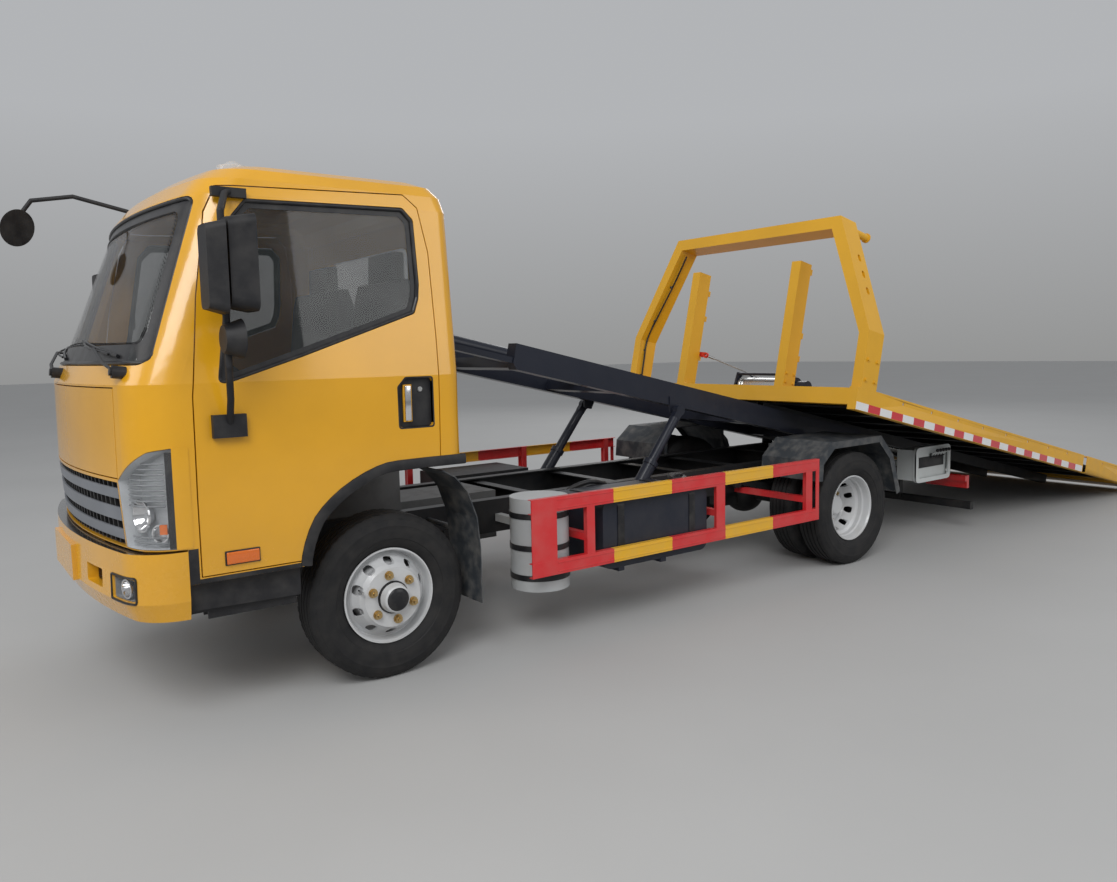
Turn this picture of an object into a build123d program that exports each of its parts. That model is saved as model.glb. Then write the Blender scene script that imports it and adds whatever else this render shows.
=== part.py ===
from build123d import *
import os
from math import cos, hypot, radians, sin

# Flatbed tow truck, parked with its bed slid back and tilted down to the ground.
# Millimetres. X forward, Y to the left, Z up, the ground at Z = 0 and the origin
# below the middle of the whole length. Lengths along the truck count from the
# front axle, and lengths along the bed count from its front edge.

os.makedirs("parts", exist_ok=True)

# Running gear
wheelbase = 3300
tyre_radius = 376
tyre_width = 200
bead_radius = 208
rim_flange_radius = 216
rim_half_width = 72
front_wheel_y = 762
twin_outer_y = 870
twin_inner_y = 630
nut_circle = 206
hub_radius = 74
kingpin_y = 672
spindle_radius = 30
rear_spindle_radius = 40
fit_gap = 0.5

# Chassis
rail_top = 660
rail_depth = 180
rail_outer_y = 405
rail_flange = 66
rail_wall = 8
rail_front = 940
rail_rear = -4150
rear_arm_end = -4840

# Cab: height, front at the middle, half width, corner radius, rear
cab_sections = (
    (600, 1106, 945, 190, -345),
    (1000, 1132, 945, 190, -346),
    (1360, 1128, 940, 190, -348),
)
upper_sections = (
    (1360, 1128, 940, 190, -348),
    (2085, 833, 858, 170, -354),
)
roof_sections = (
    (2085, 833, 858, 170, -354),
    (2150, 778, 842, 165, -338),
    (2196, 708, 806, 150, -306),
    (2222, 616, 746, 130, -246),
    (2234, 500, 640, 110, -150),
)
front_bow = 3660
cab_rear_radius = 70
cab_wall = 34
glass_inset = 10
glass_thickness = 5
floor_high = 1022
floor_low = 752
floor_sheet = 32
arch_top = 985
engine_xs = (-345, 385)
engine_half = 300
engine_top = 930
cab_hinge_x = 880
cab_hinge_z = 560
hinge_ys = (415, 435)
door_gap = 5

# Bed and its tilting frame
tilt_angle = 12.5
pivot_x = -4056
pivot_z = 600
deck_ahead = 1051
deck_height = 230
deck_length = 4780
deck_half = 1105
side_rail_height = 147
side_rail_width = 60
sill_top = 24
cross_member_height = 40
floor_plate = 5
slide_travel = 2575
tilt_rail_outer = 430
tilt_rail_inner = 350
tilt_rail_bottom = 75
tilt_rail_top = 215
tilt_rail_front = 3188
tilt_nose_front = 3610
slide_rod_radius = 28
slide_barrel_radius = 45

# Tilt cylinders
cylinder_y = 476
cylinder_foot_x = -1690
cylinder_foot_z = 470
cylinder_head_x = 1950
cylinder_head_z = 50
barrel_radius = 40
barrel_length = 385
barrel_floor = 48
ram_tail = 366
ram_radius = 30
ram_neck = 62

# The whole length runs from the front mirror's face to the bed's tail
mirror_reach = 1233.0
tail_lip = 60
tail_x = (
    pivot_x
    + (deck_ahead - deck_length) * cos(radians(tilt_angle))
    - (deck_height + tail_lip) * sin(radians(tilt_angle))
)
front_axle_x = -(mirror_reach + tail_x) / 2
rear_axle_x = -wheelbase

slope_dir = (cos(radians(tilt_angle)), 0, sin(radians(tilt_angle)))
slope_up = (-sin(radians(tilt_angle)), 0, cos(radians(tilt_angle)))
truck = Plane(origin=(front_axle_x, 0, 0))
slope = Plane(origin=(front_axle_x + pivot_x, 0, pivot_z), x_dir=slope_dir, z_dir=slope_up)
deck = Plane(
    origin=slope.from_local_coords((deck_ahead, 0, deck_height)), x_dir=slope_dir, z_dir=slope_up
)


def side(base, y):
    """Lengthwise upright plane: local x forward, local y up, facing right."""
    return Plane(
        origin=base.from_local_coords((0, y, 0)), x_dir=base.x_dir, z_dir=base.y_dir * -1
    )


def across(base, x):
    """Crosswise upright plane: local x to the left, local y up, facing forward."""
    return Plane(origin=base.from_local_coords((x, 0, 0)), x_dir=base.y_dir, z_dir=base.x_dir)


def level(base, z):
    """Plane parallel to the base at a height."""
    return Plane(origin=base.from_local_coords((0, 0, z)), x_dir=base.x_dir, z_dir=base.z_dir)


def block(xs, ys, zs, mode=Mode.ADD, base=None):
    """Box between two values on each axis of a plane, or of the builder's own plane."""
    middle = tuple((low + high) / 2 for low, high in (xs, ys, zs))
    size = (xs[1] - xs[0], ys[1] - ys[0], zs[1] - zs[0])
    if base:
        add(Box(*size, mode=Mode.PRIVATE).moved(base.location * Location(middle)), mode=mode)
    else:
        with Locations(middle):
            Box(*size, mode=mode)


def bar(base, start, end, radius, mode=Mode.ADD):
    """Round bar between two points given in a plane's coordinates."""
    first = base.from_local_coords(start)
    last = base.from_local_coords(end)
    with BuildSketch(Plane(origin=first, z_dir=last - first)) as section:
        Circle(radius)
    extrude(section.sketch, amount=(last - first).length, mode=mode)


def outline(plane, points, radius=0, grow=0):
    """Flat face from a closed table of corners, with its corners rounded."""
    with BuildSketch(plane) as face:
        with BuildLine():
            Polyline(*points, close=True)
        make_face()
        if radius:
            fillet(face.vertices(), radius)
        if grow:
            offset(amount=grow, kind=Kind.INTERSECTION)
    return face.sketch


# Cab shape

def cab_plan(z, front, half, corner, rear, inset):
    """Plan outline of the cab at one height, with a bowed front."""
    drop = half**2 / (2 * front_bow)
    with BuildSketch(level(truck, z)) as plan:
        with BuildLine():
            ThreePointArc((front - drop, -half), (front, 0), (front - drop, half))
            Polyline((front - drop, half), (rear, half), (rear, -half), (front - drop, -half))
        make_face()
        fillet(plan.vertices().group_by(Axis.X)[-1], corner)
        fillet(plan.vertices().group_by(Axis.X)[0], cab_rear_radius)
        if inset:
            offset(amount=-inset, kind=Kind.INTERSECTION)
    return plan.sketch


def cab_form(inset):
    """The cab's closed outer form, moved inwards by the inset."""
    with BuildPart() as form:
        for sections, drop in ((cab_sections, 0), (upper_sections, 0), (roof_sections, inset)):
            loft([cab_plan(z - drop, *sizes, inset) for z, *sizes in sections], ruled=True)
    return form.part


def low_form(inset):
    """The cab's form below its windows, moved inwards by the inset."""
    with BuildPart() as form:
        loft([cab_plan(z, *sizes, inset) for z, *sizes in cab_sections], ruled=True)
    return form.part


def glass_form(inset):
    """The cab's window band as one straight-sided form, a little taller than the glass."""
    (low, *low_sizes), (high, *high_sizes) = upper_sections
    plans = []
    for z in (low - 60, high + 65):
        share = (z - low) / (high - low)
        plans.append(cab_plan(z, *(a + (b - a) * share for a, b in zip(low_sizes, high_sizes)), inset))
    with BuildPart() as form:
        loft(plans, ruled=True)
    return form.part


cab_outer = cab_form(0)
cab_inner = cab_form(cab_wall)
door_seat = cab_form(cab_wall + 6)
glass_outer = glass_form(glass_inset)
glass_inner = glass_form(glass_inset + glass_thickness)
rib_outer = low_form(8)
rib_inner = low_form(20)

door_outline = (
    (823, 622), (823, 930), (818, 1311), (776, 1685), (715, 2013), (664, 2118),
    (-130, 2150), (-192, 2096), (-228, 1900), (-232, 1526), (-228, 1258), (-222, arch_top),
)
window_outline = (
    (722, 1352), (668, 1361), (385, 1451), (-134, 1629), (-158, 1690), (-168, 1760),
    (-166, 2040), (-118, 2090), (560, 2072), (620, 2000),
)
screen_outline = (
    (-893, 1432), (893, 1432), (880, 1520), (800, 2078), (-800, 2078), (-880, 1520),
)
lid_outline = ((-752, 1004), (752, 1004), (752, 1352), (-752, 1352))
grille_outline = ((-742, 742), (742, 742), (742, 992), (-742, 992))
lamp_outline = ((750, 742), (960, 742), (960, 1130), (900, 1112), (750, 1000))
other_lamp = [(-y, z) for y, z in lamp_outline]
lamp_rear = 845
arch_start = (60, arch_top - 8)
arch_middle = (290, 852)
arch_foot = (424, 622)


def door_face(plane, grow=0):
    """Door outline, with the wheel arch's curve in its lower rear corner."""
    with BuildSketch(plane) as face:
        with BuildLine():
            Polyline(*door_outline, arch_start)
            ThreePointArc(arch_start, arch_middle, arch_foot)
            Line(arch_foot, door_outline[0])
        make_face()
        if grow:
            offset(amount=grow, kind=Kind.INTERSECTION)
    return face.sketch


def arch_face(plane):
    """Everything below the cab's rear part and inside the wheel arch."""
    with BuildSketch(plane) as face:
        with BuildLine():
            Polyline(arch_foot, (arch_foot[0], 500), (-500, 500), (-500, arch_top), arch_start)
            ThreePointArc(arch_start, arch_middle, arch_foot)
        make_face()
    return face.sketch


def wall(face, depth, outer, inner):
    """The part of the cab's wall between two forms that lies behind flat outlines."""
    faces = face if isinstance(face, list) else [face]
    with BuildPart() as piece:
        for shape in faces:
            extrude(shape, amount=depth)
        add(outer, mode=Mode.INTERSECT)
        add(inner, mode=Mode.SUBTRACT)
    return piece.part


# Cab shell
with BuildPart() as cavity:
    add(cab_inner)
    room = outline(
        side(truck, 0),
        ((1200, floor_low), (470, floor_low), (372, floor_high), (-500, floor_high),
         (-500, 2300), (1200, 2300)),
    )
    extrude(room, amount=1000, both=True, mode=Mode.INTERSECT)
with BuildPart() as cab_shell:
    add(cab_outer)
    add(cavity.part, mode=Mode.SUBTRACT)
    extrude(arch_face(side(truck, 0)), amount=1000, both=True, mode=Mode.SUBTRACT)
    block((300, 1200), (-815, 815), (500, floor_low - floor_sheet), Mode.SUBTRACT, truck)
    block((866, 1300), (-1000, 1000), (500, 738), Mode.SUBTRACT, truck)
    for s in (1, -1):
        add(wall(door_face(side(truck, s * 1100)), s * 400, cab_outer, door_seat), mode=Mode.SUBTRACT)
    extrude(outline(across(truck, 500), screen_outline, 40), amount=800, mode=Mode.SUBTRACT)
    for points in (lid_outline, grille_outline):
        extrude(outline(across(truck, 940), points), amount=400, mode=Mode.SUBTRACT)
    for points in (lamp_outline, other_lamp):
        extrude(outline(across(truck, lamp_rear), points), amount=500, mode=Mode.SUBTRACT)
    block(engine_xs, (-engine_half - 15, engine_half + 15), (400, engine_top + 15), Mode.SUBTRACT, truck)
    with BuildSketch(across(truck, -500)):
        with Locations((0, 1760)):
            RectangleRounded(1000, 420, 60)
    extrude(amount=300, mode=Mode.SUBTRACT)
    for s in (1, -1):
        for z, y in ((760, 910.7), (1200, 906.8)):
            block((826, lamp_rear - 2), sorted((s * 896, s * 915)), (z, z + 80), base=truck)
            block((800, 827), sorted((s * 896, s * y)), (z, z + 80), base=truck)
        block((1030, 1080), sorted((s * 400, s * 460)), (1351, 1400), base=truck)
        block((1030, 1064.7), sorted((s * 400, s * 460)), (1300, 1352), base=truck)
        block((838, 922), sorted((s * hinge_ys[0], s * hinge_ys[1])), (530, floor_low - 10), base=truck)
        bar(truck, (cab_hinge_x, s * (hinge_ys[0] - 1), cab_hinge_z), (cab_hinge_x, s * (hinge_ys[1] + 1), cab_hinge_z),
            20 + fit_gap, Mode.SUBTRACT)
cab_shell.part.label = "cab_shell"
export_step(cab_shell.part, "parts/cab_shell.step")

# Doors with their handles, and their glass
pocket_outline = ((-190, 1137), (-29, 1137), (-29, 1312), (-64, 1349), (-190, 1349))
pocket_depth = 20
for name, s in (("left", 1), ("right", -1)):
    skin = side(truck, s * 1100)
    with BuildPart() as door:
        add(wall(door_face(skin, -door_gap), s * 400, cab_outer, cab_inner))
        extrude(outline(skin, window_outline, 22), amount=s * 400, mode=Mode.SUBTRACT)
        pocket = outline(side(truck, s * 946), pocket_outline, 14)
        extrude(pocket, amount=s * (pocket_depth + 1), mode=Mode.SUBTRACT)
        floor_y = s * (945 - pocket_depth)
        with BuildSketch(side(truck, floor_y + s * 10)) as lever_foot:
            with Locations((-72, 1241)):
                Rectangle(40, 162)
        extrude(lever_foot.sketch, amount=s * 12)
        with BuildSketch(side(truck, s * 942)) as grip:
            with Locations((-72, 1241)):
                RectangleRounded(26, 158, 11)
        extrude(grip.sketch, amount=s * 8)
    door.part.label = f"door_{name}"
    export_step(door.part, f"parts/door_{name}.step")
    with BuildPart() as door_glass:
        pane = outline(skin, window_outline, 22, -fit_gap)
        add(wall(pane, s * 400, glass_outer, glass_inner))
    door_glass.part.label = f"door_glass_{name}"
    export_step(door_glass.part, f"parts/door_glass_{name}.step")

# Windscreen and rear window
with BuildPart() as cab_glass:
    add(wall(outline(across(truck, 500), screen_outline, 40, -fit_gap), 800, glass_outer, glass_inner))
    with BuildSketch(across(truck, -500)) as rear_pane:
        with Locations((0, 1760)):
            RectangleRounded(1000 - 2 * fit_gap, 420 - 2 * fit_gap, 60)
    add(wall(rear_pane.sketch, 300, glass_outer, glass_inner))
cab_glass.part.label = "cab_glass"
export_step(cab_glass.part, "parts/cab_glass.step")

# Front lid, hinged along its top edge
with BuildPart() as front_lid:
    add(wall(outline(across(truck, 900), lid_outline, 0, -door_gap), 400, cab_outer, cab_inner))
front_lid.part.label = "front_lid"
export_step(front_lid.part, "parts/front_lid.step")

# Grille: a dark tray with upright honeycomb bars and three light bars across
grille_bars = ((790, 20), (868, 26), (948, 20))
with BuildPart() as grille:
    tray = wall(
        outline(across(truck, 900), grille_outline, 0, -fit_gap), 400, rib_inner, cab_inner
    )
    add(tray)
    ribs = [outline(across(truck, 900), ((y - 4, 748), (y + 4, 748), (y + 4, 986), (y - 4, 986)))
            for y in range(-720, 721, 48)]
    add(wall(ribs, 400, rib_outer, rib_inner))
grille.part.label = "grille"
export_step(grille.part, "parts/grille.step")
with BuildPart() as grille_trim:
    bars = [
        outline(across(truck, 900), ((-738, z - h), (738, z - h), (738, z + h), (-738, z + h)))
        for z, h in grille_bars
    ]
    add(wall(bars, 400, cab_outer, rib_outer))
grille_trim.part.label = "grille_bars"
export_step(grille_trim.part, "parts/grille_bars.step")

# Headlamps
with BuildPart() as headlamps:
    lamp_left = outline(across(truck, lamp_rear + 1), lamp_outline, 0, -1)
    lamp_right = outline(across(truck, lamp_rear + 1), other_lamp, 0, -1)
    add(wall([lamp_left, lamp_right], 400, low_form(-3), low_form(cab_wall)))

# Bumper: height, front, half width, corner radius
bumper_sections = (
    (466, 1126, 930, 176),
    (540, 1158, 945, 190),
    (731, 1154, 945, 190),
)
bumper_rear = 866
bumper_pan = 962
bumper_wall = 40
tow_slots = ((-600, -416), (416, 600))
fog_lamps = ((-862, -704), (704, 862))
fog_heights = (548, 634)
with BuildPart(truck) as bumper:
    for inset, mode in ((0, Mode.ADD), (bumper_wall, Mode.SUBTRACT)):
        sections = [cab_plan(z, front, half, corner, 300, inset)
                    for z, front, half, corner in bumper_sections]
        loft(sections, ruled=True, mode=mode)
    block((200, bumper_rear), (-1000, 1000), (400, 800), Mode.SUBTRACT)
    for low, high in tow_slots:
        slot = ((low, 566), (high, 566), (high, 640), (low, 640))
        extrude(outline(across(truck, 900), slot, 8), amount=400, mode=Mode.SUBTRACT)
    for low, high in fog_lamps:
        slot = ((low, fog_heights[0]), (high, fog_heights[0]), (high, fog_heights[1]), (low, fog_heights[1]))
        extrude(outline(across(truck, 850), slot, 8), amount=400, mode=Mode.SUBTRACT)
    block((bumper_pan, 1112), (-300, 300), (500, 508))
    block((1108, 1166), (-245, 245), (532, 684))
    for y, z in ((-190, 563), (190, 563), (-190, 653), (190, 653)):
        bar(truck, (1140, y, z), (1170, y, z), 3.5, Mode.SUBTRACT)
bumper.part.label = "bumper"
export_step(bumper.part, "parts/bumper.step")
with BuildPart() as fogs:
    lamps = [
        outline(across(truck, 850),
                ((low, fog_heights[0]), (high, fog_heights[0]), (high, fog_heights[1]), (low, fog_heights[1])),
                8, -fit_gap)
        for low, high in fog_lamps
    ]
    with BuildPart(mode=Mode.PRIVATE) as bumper_face:
        loft([cab_plan(z, front - 8, half - 8, corner, 300, 0)
              for z, front, half, corner in bumper_sections], ruled=True)
    with BuildPart(mode=Mode.PRIVATE) as bumper_back:
        loft([cab_plan(z, front - 36, half - 36, corner, 300, 0)
              for z, front, half, corner in bumper_sections], ruled=True)
    add(wall(lamps, 400, bumper_face.part, bumper_back.part))
    add(headlamps.part)
fogs.part.label = "front_lamps"
export_step(fogs.part, "parts/front_lamps.step")

# Steps below the doors, hung from the sills
step_outline = ((428, 599.8), (866, 599.8), (862, 488), (430, 478))
with BuildPart(truck) as steps:
    for s in (1, -1):
        extrude(outline(side(truck, s * 905), step_outline, 6), amount=s * 210)
        block((436, 858), sorted((s * 640, s * 880)), (470, 482))
        block((440, 790), sorted((s * 800, s * 880)), (440, 471))
        for x in (470, 600, 730):
            block((x, x + 60), sorted((s * 812, s * 868)), (430, 500), Mode.SUBTRACT)
steps.part.label = "cab_steps"
export_step(steps.part, "parts/cab_steps.step")

# Inside the cab: dashboard, steering wheel and two seats
dash_outline = (
    (700, 1150), (735, 1330), (800, 1395), (870, 1398), (940, 1370), (940, 1100), (760, 1060),
)
with BuildPart(truck) as dashboard:
    extrude(outline(side(truck, 770), dash_outline, 18), amount=1540)
    block((760, 940), (-770, 770), (1020, 1110))
    block((770, 860), (-110, 110), (floor_low + 0.3, 1030))
    extrude(
        outline(side(truck, 640), ((690, 1240), (720, 1410), (800, 1440), (850, 1390), (800, 1240)), 15),
        amount=440,
    )
    bar(truck, (760, 420, 1156), (600, 420, 1347), 28.2, Mode.SUBTRACT)
dashboard.part.label = "dashboard"
export_step(dashboard.part, "parts/dashboard.step")
wheel_hub = (560, 420, 1395)
column_foot = (740, 420, 1180)
with BuildPart() as steering_wheel:
    hub_at = truck.from_local_coords(wheel_hub)
    foot_at = truck.from_local_coords(column_foot)
    column = Plane(origin=hub_at, x_dir=(0, 1, 0), z_dir=hub_at - foot_at)
    with Locations(column.location):
        Torus(200, 14)
        Cylinder(50, 44)
        with PolarLocations(105, 3, start_angle=90):
            Box(200, 34, 12)
    bar(truck, column_foot, wheel_hub, 28)
steering_wheel.part.label = "steering_wheel"
export_step(steering_wheel.part, "parts/steering_wheel.step")
seat_bases = ((190, 690), (-690, -20))
back_outline = ((-250, 1165), (-110, 1165), (-170, 1720), (-190, 1800), (-235, 1800), (-268, 1700))
head_outline = ((-262, 1790), (-196, 1790), (-202, 1935), (-262, 1935))
with BuildPart(truck) as seats:
    for low, high in seat_bases:
        base = outline(
            side(truck, high), ((-230, floor_high), (300, floor_high), (310, 1150), (260, 1190), (-120, 1165), (-230, 1165)), 12
        )
        extrude(base, amount=high - low)
        extrude(outline(side(truck, high - 10), back_outline, 14), amount=high - low - 20)
        middle = (low + high) / 2
        extrude(outline(side(truck, middle + 130), head_outline, 12), amount=260)
seats.part.label = "seats"
export_step(seats.part, "parts/seats.step")

# Roof lamp
roof_lamp_at = (520, 600)
with BuildPart() as roof_lamp:
    bar(truck, (*roof_lamp_at, 2200), (*roof_lamp_at, 2240), 62)
    with Locations(truck.from_local_coords((*roof_lamp_at, 2238))):
        Sphere(50, arc_size1=0)
    add(cab_outer, mode=Mode.SUBTRACT)
roof_lamp.part.label = "roof_lamp"
export_step(roof_lamp.part, "parts/roof_lamp.step")

# Door mirrors: centre, size and corner radius of each housing
housings = (
    ((668, 1084, 1796), (96, 186, 352), 34),
    ((762, 1112, 1776), (66, 140, 330), 26),
)
arm_route = (
    (692, 966, 1210), (700, 1020, 1300), (712, 1062, 1420), (712, 1062, 1985), (650, 910, 2074),
    (630, 884, 2086),
)
for name, s in (("left", 1), ("right", -1)):
    with BuildPart(truck) as door_mirror:
        for (x, y, z), size, radius in housings:
            with BuildSketch(across(truck, x - size[0] / 2)) as mouth:
                with Locations((s * y, z)):
                    RectangleRounded(size[1], size[2], radius)
            with BuildSketch(across(truck, x + size[0] / 2)) as back:
                with Locations((s * y, z)):
                    RectangleRounded(size[1] - 30, size[2] - 34, radius)
            loft([mouth.sketch, back.sketch], ruled=True)
        with BuildSketch(across(truck, 668)) as round_mouth:
            with Locations((s * 1084, 1522)):
                Circle(74)
        with BuildSketch(across(truck, 734)) as round_back:
            with Locations((s * 1084, 1522)):
                Circle(50)
        loft([round_mouth.sketch, round_back.sketch], ruled=True)
        route = [(x, s * y, z) for x, y, z in arm_route]
        for start, end in zip(route, route[1:]):
            bar(truck, start, end, 13)
        for x, y, z in route[1:-1]:
            with Locations((x, y, z)):
                Sphere(13)
        block((630, 755), sorted((s * 943.3, s * 972)), (1151, 1239))
        block((560, 690), sorted((s * 860.3, s * 888)), (2068, 2104))
        block((690, 734), sorted((s * 1050, s * 1084)), (1700, 1740))
    door_mirror.part.label = f"door_mirror_{name}"
    export_step(door_mirror.part, f"parts/door_mirror_{name}.step")

# Front mirror on its long arm, right side
front_mirror_at = (1150, -1000, 2145)
front_mirror_radius = 96
front_arm = (
    (560, -831.1, 2177.7), (640, -905, 2255), (890, -965, 2322), (1080, -1000, 2290), (1150, -1012, 2190),
)
with BuildPart(truck) as front_mirror:
    face_dir = Vector(-0.5, 0.82, -0.26)
    dish = Plane(origin=truck.from_local_coords(front_mirror_at), z_dir=face_dir)
    with BuildSketch(dish) as rim:
        Circle(front_mirror_radius)
    with BuildSketch(dish.offset(-34)) as crown:
        Circle(front_mirror_radius * 0.72)
    with BuildSketch(dish.offset(-52)) as tip:
        Circle(front_mirror_radius * 0.3)
    loft([rim.sketch, crown.sketch, tip.sketch], ruled=True)
    for start, end in zip(front_arm, front_arm[1:]):
        bar(truck, start, end, 11)
    for point in front_arm:
        with Locations(point):
            Sphere(11)
front_mirror.part.label = "front_mirror"
export_step(front_mirror.part, "parts/front_mirror.step")

# Engine and gearbox, one plain block each
with BuildPart(truck) as engine:
    block((-330, engine_xs[1] - 15), (-engine_half, engine_half), (470, engine_top))
    block((-980, -330), (-190, 190), (400, 670))
    block((440, 520), (-320, 320), (520, 700))
    for s in (1, -1):
        for low, high in ((20, 90), (455, 505)):
            block((low, high), sorted((s * 299, s * (rail_outer_y - rail_wall - 0.3))), (540, 600))
engine.part.label = "engine_block"
export_step(engine.part, "parts/engine_block.step")

# Wheels. Rim section: distance outwards from the wheel's middle, radius
rim_section = (
    (-72, 216), (-72, 209), (-62, 203), (-24, 198), (-16, 190), (16, 190), (24, 198), (62, 203),
    (72, 209), (72, 216), (66, 216), (60, 207), (50, 207.5), (26, 204), (18, 197), (-18, 197),
    (-26, 204), (-50, 207.5), (-60, 207), (-66, 216),
)
disc_depth = 106
disc_thickness = 9


def revolve_face(plane_x, y, points):
    """Face in a wheel's upright plane from outward distances and radii."""
    centre, out = y
    spots = [(centre + out * d, tyre_radius + r) for d, r in points]
    return outline(across(truck, plane_x), spots)


def spin(face, x):
    """Full turn of a face about a wheel's axis."""
    at = truck.from_local_coords((x, 0, tyre_radius))
    revolve(face, axis=Axis(at, (0, 1, 0)))


def tyre_face(x, centre):
    """Half section of a tyre: bead, bulging wall, shoulder and crown."""
    with BuildSketch(across(truck, x)) as face:
        with BuildLine():
            for side_sign in (1, -1):
                bead = (centre + side_sign * 57, tyre_radius + bead_radius)
                heel = (centre + side_sign * 63, tyre_radius + bead_radius + 10)
                seat = (centre + side_sign * 74, tyre_radius + bead_radius + 16)
                bulge = (centre + side_sign * tyre_width / 2, tyre_radius + 292)
                shoulder = (centre + side_sign * 86, tyre_radius + 352)
                crown = (centre + side_sign * 68, 2 * tyre_radius - 4)
                Polyline(bead, heel, seat)
                ThreePointArc(seat, bulge, shoulder)
                Line(shoulder, crown)
            Line((centre - 57, tyre_radius + bead_radius), (centre + 57, tyre_radius + bead_radius))
            ThreePointArc(
                (centre - 68, 2 * tyre_radius - 4), (centre, 2 * tyre_radius),
                (centre + 68, 2 * tyre_radius - 4),
            )
        make_face()
    return face.sketch


def rim_solid(x, centre, out, disc_out):
    """Rim barrel with a dished disc, six nut holes' circle left to the dressing."""
    spin(revolve_face(x, (centre, out), rim_section), x)
    k = 1 if disc_out > 0 else -1
    face = disc_out
    disc = (
        (20 * k, 196), (34 * k, 180), (face - 20 * k, 152), (face, 134), (face, hub_radius),
        (face - disc_thickness * k, hub_radius), (face - disc_thickness * k, 130),
        (face - 27 * k, 144), (24 * k, 172), (8 * k, 196),
    )
    spin(revolve_face(x, (centre, out), disc), x)


def hand_holes(x, count, radius, size, y_span):
    """Oval openings in a disc, cut along the wheel's axis."""
    low, high = y_span
    at = truck.from_local_coords((x, high, tyre_radius))
    with BuildSketch(Plane(origin=at, x_dir=(1, 0, 0), z_dir=(0, -1, 0))) as holes:
        with PolarLocations(radius, count, start_angle=18):
            SlotOverall(size[0], size[1], rotation=90)
    extrude(holes.sketch, amount=high - low, mode=Mode.SUBTRACT)


for name, s in (("left", 1), ("right", -1)):
    y = s * front_wheel_y
    with BuildPart(truck) as front_tyre:
        spin(tyre_face(0, y), 0)
    front_tyre.part.label = f"front_tyre_{name}"
    export_step(front_tyre.part, f"parts/front_tyre_{name}.step")
    with BuildPart(truck) as front_rim:
        rim_solid(0, y, s, disc_depth)
        hand_holes(0, 10, 160, (44, 30), (min(y, y + s * 130), max(y, y + s * 130)))
        back = disc_depth - disc_thickness
        hub = (
            (-38, 148), (60, 148), (60, 118), (back, 118), (back, hub_radius - 2), (150, 60),
            (156, 52), (156, 0), (44, 0), (44, spindle_radius + fit_gap),
            (-30, spindle_radius + fit_gap), (-30, 62), (50, 62), (50, 139), (-38, 139),
        )
        spin(revolve_face(0, (y, s), hub), 0)
    front_rim.part.label = f"front_rim_{name}"
    export_step(front_rim.part, f"parts/front_rim_{name}.step")
    with BuildPart(truck) as rear_tyres:
        for centre in (twin_inner_y, twin_outer_y):
            spin(tyre_face(rear_axle_x, s * centre), rear_axle_x)
    rear_tyres.part.label = f"rear_tyres_{name}"
    export_step(rear_tyres.part, f"parts/rear_tyres_{name}.step")
    with BuildPart(truck) as rear_rims:
        middle = (twin_outer_y - twin_inner_y) / 2
        rim_solid(rear_axle_x, s * twin_outer_y, s, -middle)
        rim_solid(rear_axle_x, s * twin_inner_y, -s, -middle)
        span = sorted((s * (twin_inner_y + 40), s * (twin_outer_y - 40)))
        hand_holes(rear_axle_x, 10, 160, (44, 30), span)
        seat = -middle - disc_thickness
        hub = (
            (seat, 118), (-182, 118), (-182, 150), (-300, 150), (-300, 141), (-194, 141), (-194, 62),
            (-290, 62), (-290, rear_spindle_radius + fit_gap), (-150, rear_spindle_radius + fit_gap),
            (-150, 0), (-44, 0), (-44, 52), (-50, 62), (-80, hub_radius + 1), (seat, hub_radius + 1),
        )
        spin(revolve_face(rear_axle_x, (s * twin_outer_y, s), hub), rear_axle_x)
    rear_rims.part.label = f"rear_rims_{name}"
    export_step(rear_rims.part, f"parts/rear_rims_{name}.step")

# Steering knuckles: stub axle, back plate, steering arm and kingpin bosses
kingpin_radius = 18
beam_eye_half = 38
for name, s in (("left", 1), ("right", -1)):
    with BuildPart(truck) as knuckle:
        bar(truck, (0, s * (kingpin_y + 31), tyre_radius), (0, s * (front_wheel_y + 38), tyre_radius), spindle_radius)
        plate = ((-44, 158), (-40, 158), (-40, 40), (-56, 40), (-56, 60), (-44, 70))
        spin(revolve_face(0, (s * front_wheel_y, s), plate), 0)
        with BuildSketch(across(truck, 0)) as fork:
            with BuildLine():
                Polyline(
                    (s * 655, tyre_radius - 78), (s * 694, tyre_radius - 78), (s * 722, tyre_radius - 40),
                    (s * 722, tyre_radius + 40), (s * 694, tyre_radius + 78), (s * 655, tyre_radius + 78),
                    (s * 655, tyre_radius + 46), (s * 702, tyre_radius + 44),
                    (s * 702, tyre_radius - 44), (s * 655, tyre_radius - 46), close=True,
                )
            make_face()
        extrude(fork.sketch, amount=32, both=True)
        bar(truck, (0, s * kingpin_y, tyre_radius - 70), (0, s * kingpin_y, tyre_radius + 70), kingpin_radius)
        block((-150, -20), sorted((s * 650, s * 690)), (tyre_radius - 74, tyre_radius - 56))
    knuckle.part.label = f"knuckle_{name}"
    export_step(knuckle.part, f"parts/knuckle_{name}.step")

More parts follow.
